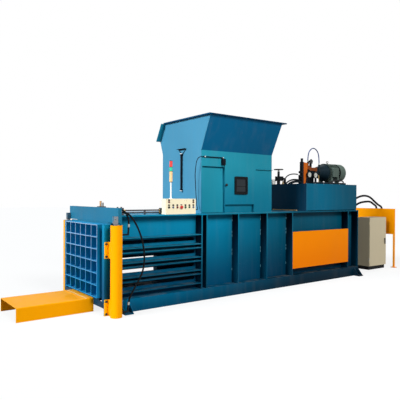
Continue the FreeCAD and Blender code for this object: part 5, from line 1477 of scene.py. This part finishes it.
    def lid(self) -> None:
        """Fit the tank's filler cap and lid screws."""
        cap = Skin().turned(self.cap, (*self.cap_place, self.tank_top), UP, 36)
        cap.piece("tank_filler_cap", self.shop, Shade.BLACK_PLASTIC)
        screws = Skin()
        for x in np.linspace(*self.lid_span):
            for y in self.lid_rows:
                screws.disc(*self.lid_screw, (float(x), y, self.tank_top), UP, 0.0012, 6)
        screws.piece("tank_lid_screws", self.shop, Shade.ZINC)

    def pipes(self) -> None:
        """Lead the level pipe, the motor's lead and the return pipe with its foot over the lid."""
        level = Skin().rope(bow(*self.level_route, 8), self.level_radius, 12)
        level.turned(self.level_nut, self.level_route[0], UP, 6)
        level.piece("level_pipe", self.shop, Shade.BRASS)
        lead = Skin().rope(bow(*self.lead_rise, 24), self.lead_radius, 12)
        lead.rope(bow(*self.lead_fall, 28), self.lead_radius, 12)
        lead.piece("motor_conduit", self.shop, Shade.BLACK_PLASTIC)
        back = Skin().rope(bow(*self.return_route, 28), self.return_radius, 12)
        back.piece("return_pipe", self.shop, Shade.BLACK_IRON)
        foot = Skin().turned(self.foot, self.return_route[0], UP, 6)
        foot.piece("return_pipe_foot", self.shop, Shade.BRASS)

    def valve_pipes(self) -> None:
        """Fit the plate under the valves with its pipes, and the timber under the tank."""
        place = (*self.plate_place, self.tank_top)
        block = Skin().slab(place, self.plate_size, 0.006, self.plate_height, UP, 0.004)
        for route in self.block_pipes:
            block.rope(bow(*route, 24), self.block_radius, 12)
        block.rope(bow(*self.long_pipe, 12), self.long_radius, 14)
        block.piece("valve_subplate_and_pipes", self.shop, Shade.DARK)
        timber = Skin().slab(self.strip_place, self.strip_size, 0.002, self.strip_height, UP, 0.0015)
        timber.piece("packing_strip", self.shop, Shade.TIMBER)


@dataclass
class RoofPipes(Assembly):
    """Fittings on the pipes along the roof."""

    pipe_y: float = -0.552
    levels: tuple[float, ...] = (1.368, 1.402)
    nuts: tuple[float, ...] = (-2.590, -2.010)
    caps: tuple[Point, ...] = ((-2.685, -0.551, 1.440), (-2.627, -0.551, 1.440))
    cap: Pair = (0.013, 0.014)
    nut: Profile = ((0.0105, 0), (0.0155, 0), (0.017, 0.002), (0.017, 0.018), (0.0155, 0.020),
                    (0.0105, 0.020), (0.0105, 0))

    def fit(self) -> None:
        """Fit union nuts at both ends of each pipe, and caps on the manifold."""
        nuts, caps = Skin(), Skin()
        for level in self.levels:
            for x in self.nuts:
                nuts.turned(self.nut, (x, self.pipe_y, level), ALONG, 6)
        nuts.piece("pipe_union_nuts", self.shop, Shade.BRASS)
        for place in self.caps:
            caps.disc(*self.cap, place, UP, 0.002, 6)
        caps.piece("manifold_caps", self.shop, Shade.BLACK_IRON)


@dataclass
class Cabinet(Assembly):
    """Electrical cabinet."""

    coats = {
        Shade.CABINET: ("cabinet_shell", "cabinet_door"),
        Shade.BLACK_PLASTIC: ("cabinet_handle",)}

    hinges: tuple[Point, ...] = ((3.463, -0.485, 0.205), (3.463, -0.485, 1.005))
    barrel: Pair = (0.0065, 0.050)

    def fit(self) -> None:
        """Fit the hinge barrels."""
        skin = Skin()
        for place in self.hinges:
            skin.disc(*self.barrel, place, UP, 0.001, 20)
        skin.piece("cabinet_hinge_barrels", self.shop, Shade.ZINC)


def main() -> None:
    """Build the whole machine and its stage."""
    logging.basicConfig(level=logging.INFO, format="%(message)s")
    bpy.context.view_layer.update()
    shop = Paintshop()
    Camera().build()
    for part in (HoseSet, PressBody, Hopper, Controls, PowerUnit, RoofPipes, Cabinet):
        part(shop).build()
    Stage().build()
    bpy.context.scene.view_settings.view_transform = "Standard"


if __name__ == "__main__":
    main()
